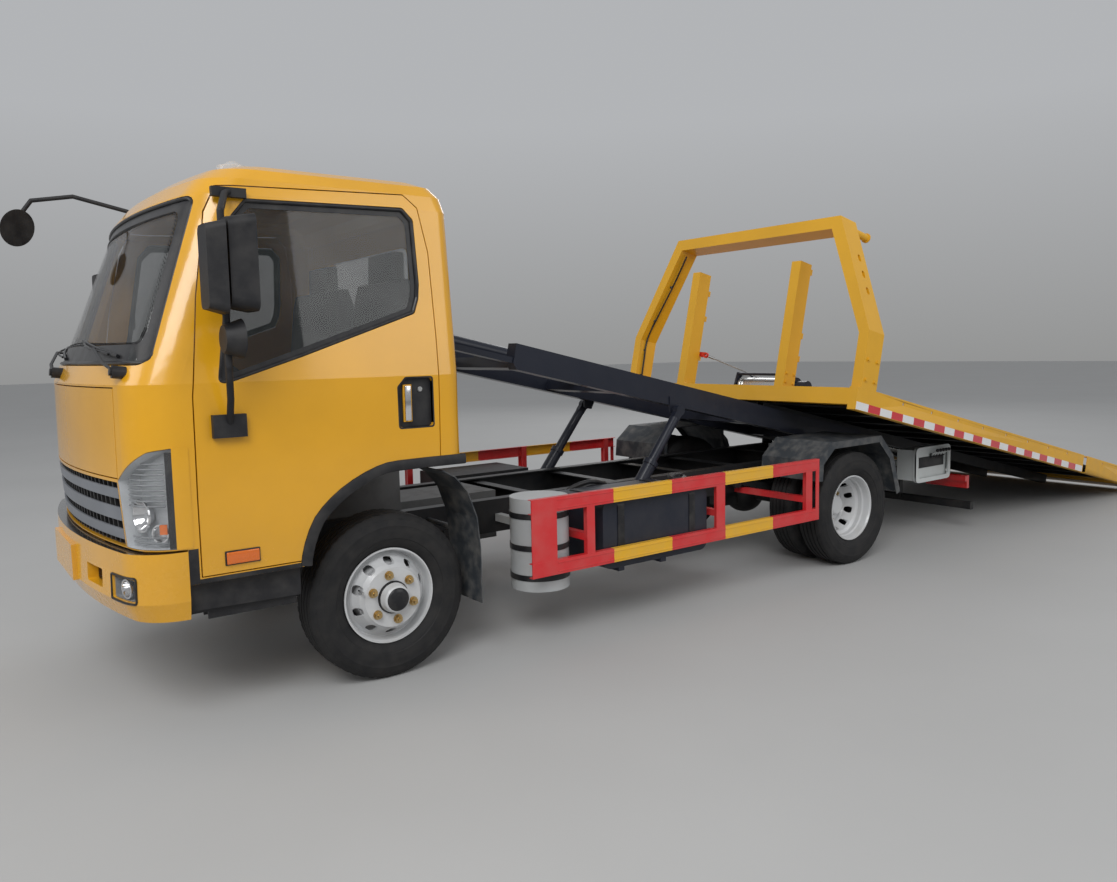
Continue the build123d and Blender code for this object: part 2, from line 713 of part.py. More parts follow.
# Front axle: dropped forged beam with an eye at each kingpin
spring_y = 372
with BuildPart(truck) as front_axle:
    beam_half = [
        (kingpin_y - 20, tyre_radius + beam_eye_half), (kingpin_y - 40, tyre_radius + beam_eye_half),
        (560, tyre_radius - 22), (spring_y + 90, tyre_radius - 44), (0, tyre_radius - 44),
        (0, tyre_radius - 118), (spring_y + 110, tyre_radius - 118), (590, tyre_radius - 92),
        (kingpin_y - 44, tyre_radius - beam_eye_half), (kingpin_y - 20, tyre_radius - beam_eye_half),
    ]
    for s in (1, -1):
        extrude(outline(across(truck, -26), [(s * y, z) for y, z in beam_half]), amount=52)
        eye = (0, s * kingpin_y, tyre_radius - beam_eye_half), (0, s * kingpin_y, tyre_radius + beam_eye_half)
        bar(truck, *eye, 28)
    for s in (1, -1):
        bar(truck, (0, s * kingpin_y, tyre_radius - 60), (0, s * kingpin_y, tyre_radius + 60),
            kingpin_radius + fit_gap, Mode.SUBTRACT)
        block((-60, 60), (s * spring_y - 36, s * spring_y + 36), (tyre_radius - 60, tyre_radius - 36))
front_axle.part.label = "front_axle"
export_step(front_axle.part, "parts/front_axle.step")

# Tie rod below the steering arms
with BuildPart(truck) as tie_rod:
    rod_z = tyre_radius - 92
    bar(truck, (-134, -670, rod_z), (-134, 670, rod_z), 13)
    for s in (1, -1):
        bar(truck, (-134, s * 670, rod_z - 16), (-134, s * 670, rod_z + 17.7), 22)
tie_rod.part.label = "tie_rod"
export_step(tie_rod.part, "parts/tie_rod.step")

# Rear axle: banjo housing, tubes and brake drums
with BuildPart(truck) as rear_axle:
    bar(truck, (rear_axle_x, -560, tyre_radius), (rear_axle_x, 560, tyre_radius), 48)
    with Locations((rear_axle_x, 0, tyre_radius)):
        Sphere(150)
    block((rear_axle_x + 100, rear_axle_x + 300), (-62, 62), (tyre_radius - 70, tyre_radius + 50))
    for s in (1, -1):
        bar(truck, (rear_axle_x, s * 548, tyre_radius), (rear_axle_x, s * 556, tyre_radius), 158)
        bar(truck, (rear_axle_x, s * 556, tyre_radius), (rear_axle_x, s * 715, tyre_radius), rear_spindle_radius)
        block((rear_axle_x - 60, rear_axle_x + 60), (s * 450 - 40, s * 450 + 40), (tyre_radius + 20, tyre_radius + 60))
rear_axle.part.label = "rear_axle"
export_step(rear_axle.part, "parts/rear_axle.step")

# Leaf springs: half length and count for each axle
leaf_thickness = 10
leaf_width = 64
spring_eye_radius = 24


def leaf_pack(x, y, seat_z, half, sag, count):
    """Curved leaves, longest on top, with an eye at each end of the main leaf."""
    radius = (half**2 + sag**2) / (2 * sag)
    for i in range(count):
        reach = half * (1 - i / (count + 1.5))
        lift = radius - (radius**2 - reach**2) ** 0.5
        top = seat_z + (count - i) * leaf_thickness
        with BuildSketch(side(truck, y + leaf_width / 2)) as leaf:
            with BuildLine():
                ThreePointArc((x - reach, top + lift), (x, top), (x + reach, top + lift))
                Line((x + reach, top + lift), (x + reach, top + lift - leaf_thickness))
                ThreePointArc(
                    (x + reach, top + lift - leaf_thickness), (x, top - leaf_thickness),
                    (x - reach, top + lift - leaf_thickness),
                )
                Line((x - reach, top + lift - leaf_thickness), (x - reach, top + lift))
            make_face()
        extrude(leaf.sketch, amount=leaf_width)
    top = seat_z + count * leaf_thickness
    for end in (x - half, x + half):
        bar(truck, (end, y - leaf_width / 2, top + sag), (end, y + leaf_width / 2, top + sag), spring_eye_radius)
    for end in (x - 42, x + 42):
        block((end - 7, end + 7), (y - leaf_width / 2 - 12, y + leaf_width / 2 + 12), (top, top + 14))
    block((x - 50, x + 50), (y - 30, y + 30), (seat_z, top + 8))


front_spring = (0, tyre_radius - 36, 560, 62, 5)
rear_spring = (rear_axle_x, tyre_radius + 60, 610, 40, 8)
with BuildPart(truck) as leaf_springs:
    for s in (1, -1):
        leaf_pack(front_spring[0], s * spring_y, *front_spring[1:])
        leaf_pack(rear_spring[0], s * 450, *rear_spring[1:])
leaf_springs.part.label = "leaf_springs"
export_step(leaf_springs.part, "parts/leaf_springs.step")

# Chassis frame: two channel rails, cross members, spring hangers and pivot ears
cross_members = (860, 620, -1180, -1800, -2420, -2900, -3640, -4056)
with BuildPart(truck) as chassis:
    rail = [
        (rail_outer_y, rail_top), (rail_outer_y - rail_flange, rail_top),
        (rail_outer_y - rail_flange, rail_top - rail_wall), (rail_outer_y - rail_wall, rail_top - rail_wall),
        (rail_outer_y - rail_wall, rail_top - rail_depth + rail_wall),
        (rail_outer_y - rail_flange, rail_top - rail_depth + rail_wall),
        (rail_outer_y - rail_flange, rail_top - rail_depth), (rail_outer_y, rail_top - rail_depth),
    ]
    for s in (1, -1):
        extrude(outline(across(truck, rail_rear), [(s * y, z) for y, z in rail]), amount=rail_front - rail_rear)
    for x in cross_members:
        member = [
            (x - 35, rail_top - 20), (x + 35, rail_top - 20), (x + 35, rail_top - 26), (x - 29, rail_top - 26),
            (x - 29, rail_top - 144), (x + 35, rail_top - 144), (x + 35, rail_top - 150), (x - 35, rail_top - 150),
        ]
        reach = rail_outer_y - rail_wall
        extrude(outline(side(truck, reach), member), amount=2 * reach)
    for s in (1, -1):
        for axle_x, y, top, half, sag, count in (
            (front_spring[0], s * spring_y, front_spring[1], *front_spring[2:]),
            (rear_spring[0], s * 450, rear_spring[1], *rear_spring[2:]),
        ):
            eye_z = top + count * leaf_thickness + sag
            for end in (axle_x - half, axle_x + half):
                top_z = max(rail_top - rail_depth + 30, eye_z + 80)
                for ear in (y - leaf_width / 2 - 8.5, y + leaf_width / 2 + 0.5):
                    hanger = ((end - 45, top_z), (end + 45, top_z), (end + 30, eye_z - 30), (end - 30, eye_z - 30))
                    extrude(outline(side(truck, ear + 8), hanger), amount=8)
                if abs(y) > rail_outer_y:
                    span = sorted((s * rail_outer_y, y + s * (leaf_width / 2 + 8.5)))
                    block((end - 45, end + 45), span, (top_z - 10, top_z))
        arm = ((rail_rear, rail_top - 20), (rear_arm_end, 470), (rear_arm_end, 380), (rail_rear, rail_top - rail_depth))
        extrude(outline(side(truck, s * 365 + 5), arm), amount=10)
    block((rail_rear - 60, rail_rear), (-rail_outer_y, rail_outer_y), (490, 640))
    bar(truck, (pivot_x, -rail_outer_y - 6, pivot_z), (pivot_x, rail_outer_y + 6, pivot_z), 40)
    bar(truck, (pivot_x, -rail_outer_y - 30, pivot_z), (pivot_x, rail_outer_y + 30, pivot_z), 25)
    for s in (1, -1):
        bar(truck, (cab_hinge_x, s * (rail_outer_y - 1), cab_hinge_z), (cab_hinge_x, s * 445, cab_hinge_z), 20)
        foot = ((cylinder_foot_x - 50, rail_top - 110), (cylinder_foot_x + 50, rail_top - 110),
                (cylinder_foot_x + 34, cylinder_foot_z - 34), (cylinder_foot_x - 34, cylinder_foot_z - 34))
        low, high = sorted((s * rail_outer_y, s * (rail_outer_y + 12)))
        extrude(outline(side(truck, high), foot, 8), amount=high - low)
        bar(truck, (cylinder_foot_x, s * rail_outer_y, cylinder_foot_z),
            (cylinder_foot_x, s * (cylinder_y + 26), cylinder_foot_z), 16)
        bar(truck, (cylinder_foot_x, s * rail_outer_y, cylinder_foot_z),
            (cylinder_foot_x, s * (cylinder_y - 20), cylinder_foot_z), 30)
chassis.part.label = "chassis_frame"
export_step(chassis.part, "parts/chassis_frame.step")

# Rear mudguards over the twin wheels, and the liners and flaps behind the front wheels
guard_path = (
    (-2882, 600), (-2894, 727), (-3030, 838), (-3555, 843), (-3700, 700), (-3792, 436),
)
guard_ys = (522, 985)
liner_path = ((-236, 930), (-300, 895), (-365, 820), (-412, 690), (-426, 540), (-426, 280))
liner_ys = (640, 930)
sheet = 4
with BuildPart(truck) as mudguards:
    for s in (1, -1):
        for start, end in zip(guard_path, guard_path[1:]):
            length = hypot(end[0] - start[0], end[1] - start[1])
            nx, nz = (end[1] - start[1]) / length, -(end[0] - start[0]) / length
            strip = (start, end, (end[0] - nx * sheet, end[1] - nz * sheet), (start[0] - nx * sheet, start[1] - nz * sheet))
            y_high = max(s * guard_ys[0], s * guard_ys[1])
            extrude(outline(side(truck, y_high), strip), amount=guard_ys[1] - guard_ys[0])
            lip = (start, end, (end[0] - nx * 44, end[1] - abs(nz) * 44), (start[0] - nx * 44, start[1] - abs(nz) * 44))
            extrude(outline(side(truck, s * guard_ys[1]), lip), amount=s * sheet)
        for x in (-2990, -3620):
            bar(truck, (x, s * (rail_outer_y + 0.2), 570), (x, s * 512, 570), 14)
            bar(truck, (x, s * 512, 556), (x, s * 512, 800), 14)
    for s in (1, -1):
        for start, end in zip(liner_path, liner_path[1:]):
            length = hypot(end[0] - start[0], end[1] - start[1])
            nx, nz = (end[1] - start[1]) / length, -(end[0] - start[0]) / length
            strip = (start, end, (end[0] - nx * 5, end[1] - nz * 5), (start[0] - nx * 5, start[1] - nz * 5))
            y_high = max(s * liner_ys[0], s * liner_ys[1])
            extrude(outline(side(truck, y_high), strip), amount=liner_ys[1] - liner_ys[0])
        bar(truck, (-432, s * (rail_outer_y + 0.2), 600), (-432, s * 700, 600), 14)
mudguards.part.label = "mudguards"
export_step(mudguards.part, "parts/mudguards.step")

# Side guards: two rails, three posts and wide end plates
guard_y = 1000
guard_low = (364, 436)
guard_high = (676, 748)
guard_x = (-2868, -668)
with BuildPart(truck) as side_guards:
    for s in (1, -1):
        for low, high in (guard_low, guard_high):
            rail = ((guard_y, low), (guard_y, high), (guard_y - 30, high), (guard_y - 30, high - 3),
                    (guard_y - 3, high - 3), (guard_y - 3, low + 3), (guard_y - 30, low + 3), (guard_y - 30, low))
            extrude(outline(across(truck, guard_x[0]), [(s * y, z) for y, z in rail]), amount=guard_x[1] - guard_x[0])
        for low, high in ((-818, -668), (-1056, -1006), (-2010, -1940), (-2800, -2740), (-2868, -2838)):
            block((low, high), sorted((s * (guard_y - 6), s * (guard_y - 1))), (guard_low[0], guard_high[1]))
        for x, z in ((-1030, 500), (-1975, 500), (-2770, 482)):
            block((x - 20, x + 20), sorted((s * (rail_outer_y + 0.2), s * (guard_y - 5))), (z, z + 36))
            block((x - 20, x + 20), sorted((s * (guard_y - 34), s * (guard_y - 6))), (guard_low[0], guard_high[1]))
side_guards.part.label = "side_guards"
export_step(side_guards.part, "parts/side_guards.step")

# Tanks and battery box below the frame, behind the side guards
with BuildPart(truck) as tanks:
    with BuildSketch(side(truck, 960)) as fuel:
        with Locations((-1520, 500)):
            RectangleRounded(760, 360, 50)
    extrude(fuel.sketch, amount=440)
    bar(truck, (-1700, 900, 640), (-1700, 925, 720), 44)
    for x in (-1260, -1560):
        block((x - 20, x + 20), (rail_outer_y + 0.2, 962), (300, 321))
        block((x - 20, x + 20), (rail_outer_y + 0.2, 430), (300, 640))
tanks.part.label = "fuel_tank"
export_step(tanks.part, "parts/fuel_tank.step")
with BuildPart(truck) as reagent_tank:
    bar(truck, (-860, 790, 262), (-860, 790, 726), 150)
    block((-880, -840), (rail_outer_y + 0.2, 660), (540, 580))
reagent_tank.part.label = "reagent_tank"
export_step(reagent_tank.part, "parts/reagent_tank.step")
with BuildPart(truck) as battery_box:
    block((-1700, -1080), (-920, -520), (400, 660))
    for x in (-1640, -1180):
        block((x, x + 40), (-521, -rail_outer_y - 0.2), (520, 600))
battery_box.part.label = "battery_box"
export_step(battery_box.part, "parts/battery_box.step")

# Underrun bar, control box and tail lamps at the rear
with BuildPart(truck) as underrun:
    with BuildSketch(side(truck, 945)) as tube:
        with Locations((-4836, 200)):
            RectangleRounded(46, 58, 8)
    extrude(tube.sketch, amount=1890)
    for s in (1, -1):
        block((-4838, -4790), sorted((s * 334, s * 359.8)), (200, 470))
underrun.part.label = "underrun_bar"
export_step(underrun.part, "parts/underrun_bar.step")
with BuildPart(truck) as control_box:
    block((-4740, -4300), (640, 780), (430, 660))
    block((-4560, -4500), (370, 640), (500, 540))
    for i in range(5):
        bar(truck, (-4680 + 40 * i, 779, 600), (-4680 + 40 * i, 830, 640), 7)
control_box.part.label = "control_box"
export_step(control_box.part, "parts/control_box.step")
with BuildPart(truck) as tail_lamps:
    for s in (1, -1):
        block((-4870, -4840), sorted((s * 560, s * 900)), (330, 430))
        block((-4840, -4815), sorted((s * 370.2, s * 900)), (385, 425))
tail_lamps.part.label = "tail_lamps"
export_step(tail_lamps.part, "parts/tail_lamps.step")

# Tilting frame: two box rails on the pivot shaft, a narrower nose and cross tubes
slide_z = 196
slide_mouth = 720
slide_end = 3480
rod_foot = -1930
tilt_cross = (300, 1100, 2350, 3120)
shaft_radius = 25
tilt_ear = (rail_outer_y + 7, tilt_rail_outer)
with BuildPart(slope) as tilt_frame:
    for s in (1, -1):
        ys = sorted((s * tilt_rail_inner, s * tilt_rail_outer))
        rail = ((-40, tilt_rail_bottom), (tilt_rail_front - 30, tilt_rail_bottom),
                (tilt_rail_front, tilt_rail_bottom + 30), (tilt_rail_front, tilt_rail_top), (-40, tilt_rail_top))
        extrude(outline(side(slope, ys[1]), rail), amount=ys[1] - ys[0])
        block((tilt_rail_front, tilt_nose_front), (ys[0] + 10, ys[1] - 10), (tilt_rail_bottom + 30, tilt_rail_bottom + 62))
        low, high = sorted((s * tilt_ear[0], s * tilt_ear[1]))
        ear = ((-58, tilt_rail_bottom + 20), (-40, -30), (-20, -48), (20, -48), (40, -30), (58, tilt_rail_bottom + 20))
        extrude(outline(side(slope, high), ear, 8), amount=high - low)
        head_x, head_z = cylinder_head_x, cylinder_head_z
        lug = ((head_x - 60, 130), (head_x - 30, head_z - 26), (head_x + 30, head_z - 26), (head_x + 60, 130))
        low, high = sorted((s * (tilt_rail_outer - 8), s * (tilt_rail_outer + 8)))
        extrude(outline(side(slope, high), lug, 6), amount=high - low)
        bar(slope, (head_x, s * tilt_rail_outer, head_z), (head_x, s * (cylinder_y - 19), head_z), 22)
    for x in tilt_cross:
        block((x - 40, x + 40), (-tilt_rail_inner, tilt_rail_inner), (tilt_rail_bottom + 10, tilt_rail_bottom + 70))
    block((tilt_nose_front - 60, tilt_nose_front), (-tilt_rail_outer + 10, tilt_rail_outer - 10),
          (tilt_rail_bottom + 30, tilt_rail_bottom + 62))
    for s in (1, -1):
        bar(slope, (0, s * 400, 0), (0, s * 440, 0), shaft_radius + fit_gap, Mode.SUBTRACT)
    for x in (1100, 2350, 3120):
        block((x - 30, x + 30), (-60, 60), (tilt_rail_bottom + 60, 165))
    bar(slope, (600, 0, slide_z), (3700, 0, slide_z), slide_barrel_radius + 0.2, Mode.SUBTRACT)
tilt_frame.part.label = "tilt_frame"
export_step(tilt_frame.part, "parts/tilt_frame.step")

# Slide cylinder: barrel along the tilting frame, rod fixed to the bed
with BuildPart(slope) as slide_barrel:
    bar(slope, (slide_mouth, 0, slide_z), (slide_end, 0, slide_z), slide_barrel_radius)
    bar(slope, (slide_mouth - 1, 0, slide_z), (slide_end - 30, 0, slide_z), slide_rod_radius + 5, Mode.SUBTRACT)
slide_barrel.part.label = "slide_barrel"
export_step(slide_barrel.part, "parts/slide_barrel.step")
with BuildPart(slope) as slide_rod:
    bar(slope, (rod_foot, 0, slide_z), (slide_mouth + 110, 0, slide_z), slide_rod_radius)
    bar(slope, (slide_mouth + 60, 0, slide_z), (slide_mouth + 110, 0, slide_z), slide_rod_radius + 4.5)
    block((rod_foot - 40, rod_foot), (-60, 60), (slide_z - 40, deck_height + sill_top))
slide_rod.part.label = "slide_rod"
export_step(slide_rod.part, "parts/slide_rod.step")

# Tilt cylinders: barrels on feet beside the chassis, rams up to the tilting frame
head_at = slope.from_local_coords((cylinder_head_x, 0, cylinder_head_z))
foot_at = truck.from_local_coords((cylinder_foot_x, 0, cylinder_foot_z))
ram_span = (head_at - foot_at).length
ram_dir = (head_at - foot_at).normalized()
cylinder_lines = [
    Plane(origin=foot_at + Vector(0, s * cylinder_y, 0), x_dir=(0, 1, 0), z_dir=ram_dir) for s in (1, -1)
]
with BuildPart() as tilt_barrels:
    for line in cylinder_lines:
        bar(line, (0, 0, 38), (0, 0, barrel_length), barrel_radius)
        bar(line, (0, 0, barrel_floor), (0, 0, barrel_length + 1), ram_radius + 4, Mode.SUBTRACT)
        bar(line, (0, 0, barrel_length - 30), (0, 0, barrel_length), barrel_radius + 6)
        bar(line, (0, 0, barrel_length - 31), (0, 0, barrel_length + 1), ram_radius + fit_gap, Mode.SUBTRACT)
        bar(line, (-18, 0, 0), (18, 0, 0), 42)
        bar(line, (-19, 0, 0), (19, 0, 0), 16 + fit_gap, Mode.SUBTRACT)
tilt_barrels.part.label = "tilt_barrels"
export_step(tilt_barrels.part, "parts/tilt_barrels.step")
with BuildPart() as tilt_rams:
    for line in cylinder_lines:
        bar(line, (0, 0, ram_tail), (0, 0, ram_span - ram_neck), ram_radius)
        block((-18, 18), (-26, 26), (ram_span - ram_neck - 1, ram_span - 20), base=line)
        bar(line, (-18, 0, ram_span), (18, 0, ram_span), 34)
tilt_rams.part.label = "tilt_rams"
export_step(tilt_rams.part, "parts/tilt_rams.step")

# Bed: side rails, floor on cross members, runners, front beam and tail
rail_length = 4470
lash_holes = 11
lash_first = 527
lash_pitch = 358
lash_z = 118
lash_radius = 11
section_gap = 28
side_rail_section = (
    (deck_half, 0), (deck_half, side_rail_height), (deck_half - side_rail_width, side_rail_height),
    (deck_half - side_rail_width, side_rail_height - 6), (deck_half - 6, side_rail_height - 6),
    (deck_half - 6, 6), (deck_half - side_rail_width, 6), (deck_half - side_rail_width, 0),
)
with BuildPart(deck) as deck_rails:
    for s in (1, -1):
        section = [(s * y, z) for y, z in side_rail_section]
        extrude(outline(across(deck, -rail_length), section), amount=rail_length)
        low, high = sorted((s * (deck_half - side_rail_width), s * deck_half))
        extrude(outline(side(deck, high), ((-6, 6), (0, 6), (0, 141), (-6, 141))), amount=high - low)
        for i in range(lash_holes):
            x = -lash_first - i * lash_pitch
            bar(deck, (x, s * (deck_half - 10), lash_z), (x, s * (deck_half + 1), lash_z), lash_radius, Mode.SUBTRACT)
    reach = deck_half - 8
    beam = [(-52, 31), (0, 31), (0, 137), (-52, 137)]
    extrude(outline(side(deck, reach), beam), amount=2 * reach)
    beam = [(-46, 37), (-6, 37), (-6, 131), (-46, 131)]
    extrude(outline(side(deck, reach - 60), beam), amount=2 * (reach - 60), mode=Mode.SUBTRACT)
deck_rails.part.label = "deck_frame"
export_step(deck_rails.part, "parts/deck_frame.step")

floor_top = sill_top + cross_member_height + floor_plate
inner_half = deck_half - side_rail_width
cross_pitch = 405
tread_sheet = 3
tread_front = -600
with BuildPart(deck) as deck_floor:
    block((-rail_length, -52.2), (-deck_half + 6.2, deck_half - 6.2), (floor_top - floor_plate, floor_top))
    block((-rail_length + 6, tread_front), (-inner_half + 5, inner_half - 5), (floor_top, floor_top + tread_sheet))
    for i in range(11):
        x = -120 - i * cross_pitch
        channel = ((x - 30, sill_top), (x + 30, sill_top), (x + 30, sill_top + 5), (x - 25, sill_top + 5),
                   (x - 25, sill_top + 35), (x + 30, sill_top + 35), (x + 30, sill_top + 40), (x - 30, sill_top + 40))
        extrude(outline(side(deck, inner_half - 1), channel), amount=2 * inner_half - 2)
    for s in (1, -1):
        ys = sorted((s * 268, s * 334))
        block((-rail_length, -52.2), (ys[0], ys[0] + 6), (-58, sill_top + 1))
        block((-rail_length, -52.2), (ys[1] - 6, ys[1]), (-58, sill_top + 1))
        block((-rail_length, -52.2), ys, (-58, -50))
deck_floor.part.label = "deck_floor"
export_step(deck_floor.part, "parts/deck_floor.step")

tail_front = -rail_length - section_gap
with BuildPart(deck) as deck_tail:
    ramp = ((tail_front, floor_top), (-deck_length, 14), (-deck_length, 2), (tail_front, 10))
    extrude(outline(side(deck, inner_half), ramp), amount=2 * inner_half)
    cheek = ((tail_front, 0), (tail_front, 112), (tail_front - 30, side_rail_height),
             (-deck_length + 60, side_rail_height), (-deck_length, tail_lip), (-deck_length, 0))
    for s in (1, -1):
        low, high = sorted((s * inner_half, s * deck_half))
        extrude(outline(side(deck, high), cheek), amount=high - low)
    block((-rail_length - section_gap - 1, -rail_length + 60), (-900, 900), (29.2, floor_top - floor_plate - 0.3))
deck_tail.part.label = "deck_tail"
export_step(deck_tail.part, "parts/deck_tail.step")

# Headboard: a portal of wide legs that lean in to the top beam, and two posts on the front beam
rack_xs = (-200, -30)
rack_bend = 515
rack_top = 1300
rack_top_half = 765
rack_outer = ((deck_half, side_rail_height), (deck_half, rack_bend), (rack_top_half, rack_top))
rack_inner = ((deck_half - 72, side_rail_height), (deck_half - 72, rack_bend - 16), (rack_top_half - 58, rack_top - 84))
rack_slots = (0.36, 0.505, 0.65)
rack_slot_size = (54, 30)
stub_z = 1242
post_ys = (436, 513)
post_xs = (-124, -4)
post_top = 1010
post_lugs = {1: (352, 514, 966), -1: (364, 674, 873)}
lug_reach = 38
lug_half = (22, 20)
with BuildPart(deck) as headboard:
    outer = [(y, z) for y, z in rack_outer] + [(-y, z) for y, z in reversed(rack_outer)]
    inner = [(y, z) for y, z in rack_inner] + [(-y, z) for y, z in reversed(rack_inner)]
    extrude(outline(across(deck, rack_xs[0]), outer), amount=rack_xs[1] - rack_xs[0])
    extrude(outline(across(deck, rack_xs[0] - 1), inner), amount=rack_xs[1] - rack_xs[0] + 2, mode=Mode.SUBTRACT)
    for s in (1, -1):
        ys = sorted((s * post_ys[0], s * post_ys[1]))
        block(post_xs, ys, (137, post_top))
        block((post_xs[0] + 8, post_xs[1] - 8), (ys[0] + 8, ys[1] - 8), (145, post_top - 8), Mode.SUBTRACT)
        for i in range(9):
            low = 200 + i * 88
            block((post_xs[0] - 1, post_xs[0] + 9), (ys[0] + 20, ys[1] - 20), (low, low + 44), Mode.SUBTRACT)
        block((-124, -53), ys, (floor_top, 137))
        middle = s * (post_ys[0] + post_ys[1]) / 2
        for z in post_lugs[s]:
            block((post_xs[0] - lug_reach, post_xs[0] + 8), (middle - lug_half[0], middle + lug_half[0]),
                  (z - lug_half[1], z + lug_half[1]))
    bend = Vector(0, deck_half, rack_bend)
    lean = Vector(0, rack_top_half, rack_top) - bend
    for share in rack_slots:
        spot = bend + lean * share
        face = Plane(
            origin=deck.from_local_coords((-132, spot.Y, spot.Z)), x_dir=deck.x_dir,
            z_dir=deck.from_local_coords(lean.cross(Vector(1, 0, 0))) - deck.origin,
        )
        with BuildSketch(face) as slot:
            SlotOverall(*rack_slot_size, rotation=90)
        extrude(slot.sketch, amount=24, both=True, mode=Mode.SUBTRACT)
    bar(deck, (rack_xs[0] + 1, rack_top_half - 20, stub_z), (rack_xs[0] - 160, rack_top_half - 20, stub_z), 26)
    bar(deck, (rack_xs[0] - 160, rack_top_half - 20, stub_z), (rack_xs[0] - 172, rack_top_half - 20, stub_z), 33)
headboard.part.label = "headboard"
export_step(headboard.part, "parts/headboard.step")

# Winch: side plates, drum with rope laid on it, hydraulic motor
winch_x = -420
winch_z = 196
drum_rope_radius = 66
with BuildPart(deck) as winch_frame:
    block((winch_x - 130, winch_x + 130), (-230, 230), (floor_top, floor_top + 10))
    for s in (1, -1):
        low, high = sorted((s * 200, s * 212))
        plate = ((winch_x - 120, floor_top + 5), (winch_x - 90, 290), (winch_x + 90, 290), (winch_x + 120, floor_top + 5))
        extrude(outline(side(deck, high), plate, 6), amount=high - low)
    bar(deck, (winch_x, 212, winch_z), (winch_x, 300, winch_z), 72)
    bar(deck, (winch_x, 300, winch_z), (winch_x, 400, winch_z), 48)
    for s in (1, -1):
        bar(deck, (winch_x, s * 190, winch_z), (winch_x, s * 212, winch_z), 22 + fit_gap, Mode.SUBTRACT)
    bar(deck, (winch_x + 80, -200, 276), (winch_x + 80, 200, 276), 10)
winch_frame.part.label = "winch_frame"
export_step(winch_frame.part, "parts/winch_frame.step")
with BuildPart(deck) as winch_drum:
    bar(deck, (winch_x, -211, winch_z), (winch_x, 211, winch_z), 22)
    bar(deck, (winch_x, -190, winch_z), (winch_x, 190, winch_z), 48)
    bar(deck, (winch_x, -176, winch_z), (winch_x, 176, winch_z), drum_rope_radius)
    for s in (1, -1):
        bar(deck, (winch_x, s * 180, winch_z), (winch_x, s * 190, winch_z), 88)
winch_drum.part.label = "winch_drum"
export_step(winch_drum.part, "parts/winch_drum.step")

# Hook hung on a lug of the right post, with the rope back to the drum
hook_z = post_lugs[-1][0]
hook_inner = 32
hook_outer = 50
hook_half = 8
hook_x = post_xs[0] - lug_reach / 2
lug_edge = -(post_ys[0] + post_ys[1]) / 2 - lug_half[0]
hook_y = lug_edge + ((hook_inner + 0.3) ** 2 - lug_half[1] ** 2) ** 0.5
eye_y = hook_y + 88
eye_z = hook_z + 20
eye_outer = 22
rope_radius = 5
with BuildPart(deck) as winch_hook:
    with BuildSketch(across(deck, hook_x - hook_half)) as hook_face:
        with Locations((hook_y, hook_z)):
            Circle(hook_outer)
        with Locations((eye_y, eye_z)):
            Circle(eye_outer)
        with BuildLine():
            Polyline((hook_y - 6, hook_z + 49), (eye_y + 4, eye_z + 21), (eye_y - 8, eye_z - 20),
                     (hook_y + 12, hook_z + 28), close=True)
        make_face()
        with Locations((hook_y, hook_z)):
            Circle(hook_inner, mode=Mode.SUBTRACT)
        with Locations((eye_y, eye_z)):
            Circle(11, mode=Mode.SUBTRACT)
        with BuildLine():
            Polyline((hook_y + 6, hook_z + 24), (hook_y + 70, hook_z - 6), (hook_y + 60, hook_z - 60),
                     (hook_y + 12, hook_z - 60), close=True)
        make_face(mode=Mode.SUBTRACT)
    extrude(hook_face.sketch, amount=2 * hook_half)
winch_hook.part.label = "winch_hook"
export_step(winch_hook.part, "parts/winch_hook.step")
with BuildPart(deck) as winch_rope:
    over = drum_rope_radius + rope_radius + 0.5
    rope_slope = Vector(hook_x - winch_x, 0, eye_z - winch_z - over).normalized()
    rope_start = Vector(winch_x - rope_slope.Z * over, -60, winch_z + rope_slope.X * over)
    rope_run = (Vector(hook_x, eye_y, eye_z) - rope_start)
    rope_end = rope_start + rope_run * (1 - 23 / rope_run.length)
    bar(deck, tuple(rope_start), tuple(rope_end), rope_radius)
    bar(deck, tuple(rope_end - rope_run.normalized() * 46), tuple(rope_end), 9)
winch_rope.part.label = "winch_rope"
export_step(winch_rope.part, "parts/winch_rope.step")
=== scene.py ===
import bpy, bmesh
from math import pi, sin, cos, radians
from mathutils import Matrix, Vector


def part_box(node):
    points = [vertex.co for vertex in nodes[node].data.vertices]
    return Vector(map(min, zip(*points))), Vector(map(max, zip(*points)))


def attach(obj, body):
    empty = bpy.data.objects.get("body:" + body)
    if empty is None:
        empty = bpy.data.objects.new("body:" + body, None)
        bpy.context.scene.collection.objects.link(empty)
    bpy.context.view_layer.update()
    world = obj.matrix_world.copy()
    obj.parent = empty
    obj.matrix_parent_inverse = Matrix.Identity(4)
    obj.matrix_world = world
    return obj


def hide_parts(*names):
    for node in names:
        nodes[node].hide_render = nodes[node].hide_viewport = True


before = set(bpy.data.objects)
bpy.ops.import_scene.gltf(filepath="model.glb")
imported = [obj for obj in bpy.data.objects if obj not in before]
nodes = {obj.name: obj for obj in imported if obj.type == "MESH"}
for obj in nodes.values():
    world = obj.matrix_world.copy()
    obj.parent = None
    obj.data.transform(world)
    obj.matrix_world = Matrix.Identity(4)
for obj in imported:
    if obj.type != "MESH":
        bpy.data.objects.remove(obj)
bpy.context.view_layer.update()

# Places come from the CAD: front axle, rear axle, and the bed's slope
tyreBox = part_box("front_tyre_left")
axleX = (tyreBox[0][0] + tyreBox[1][0]) / 2
tyreRadius = (tyreBox[1][2] - tyreBox[0][2]) / 2
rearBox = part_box("rear_tyres_left")
rearX = (rearBox[0][0] + rearBox[1][0]) / 2 - axleX
slope = {"angle": radians(12.5), "pivotX": -4.056, "pivotZ": 0.600, "along": 1.051, "up": 0.230}
slopeForward = Vector((cos(slope["angle"]), 0, sin(slope["angle"])))
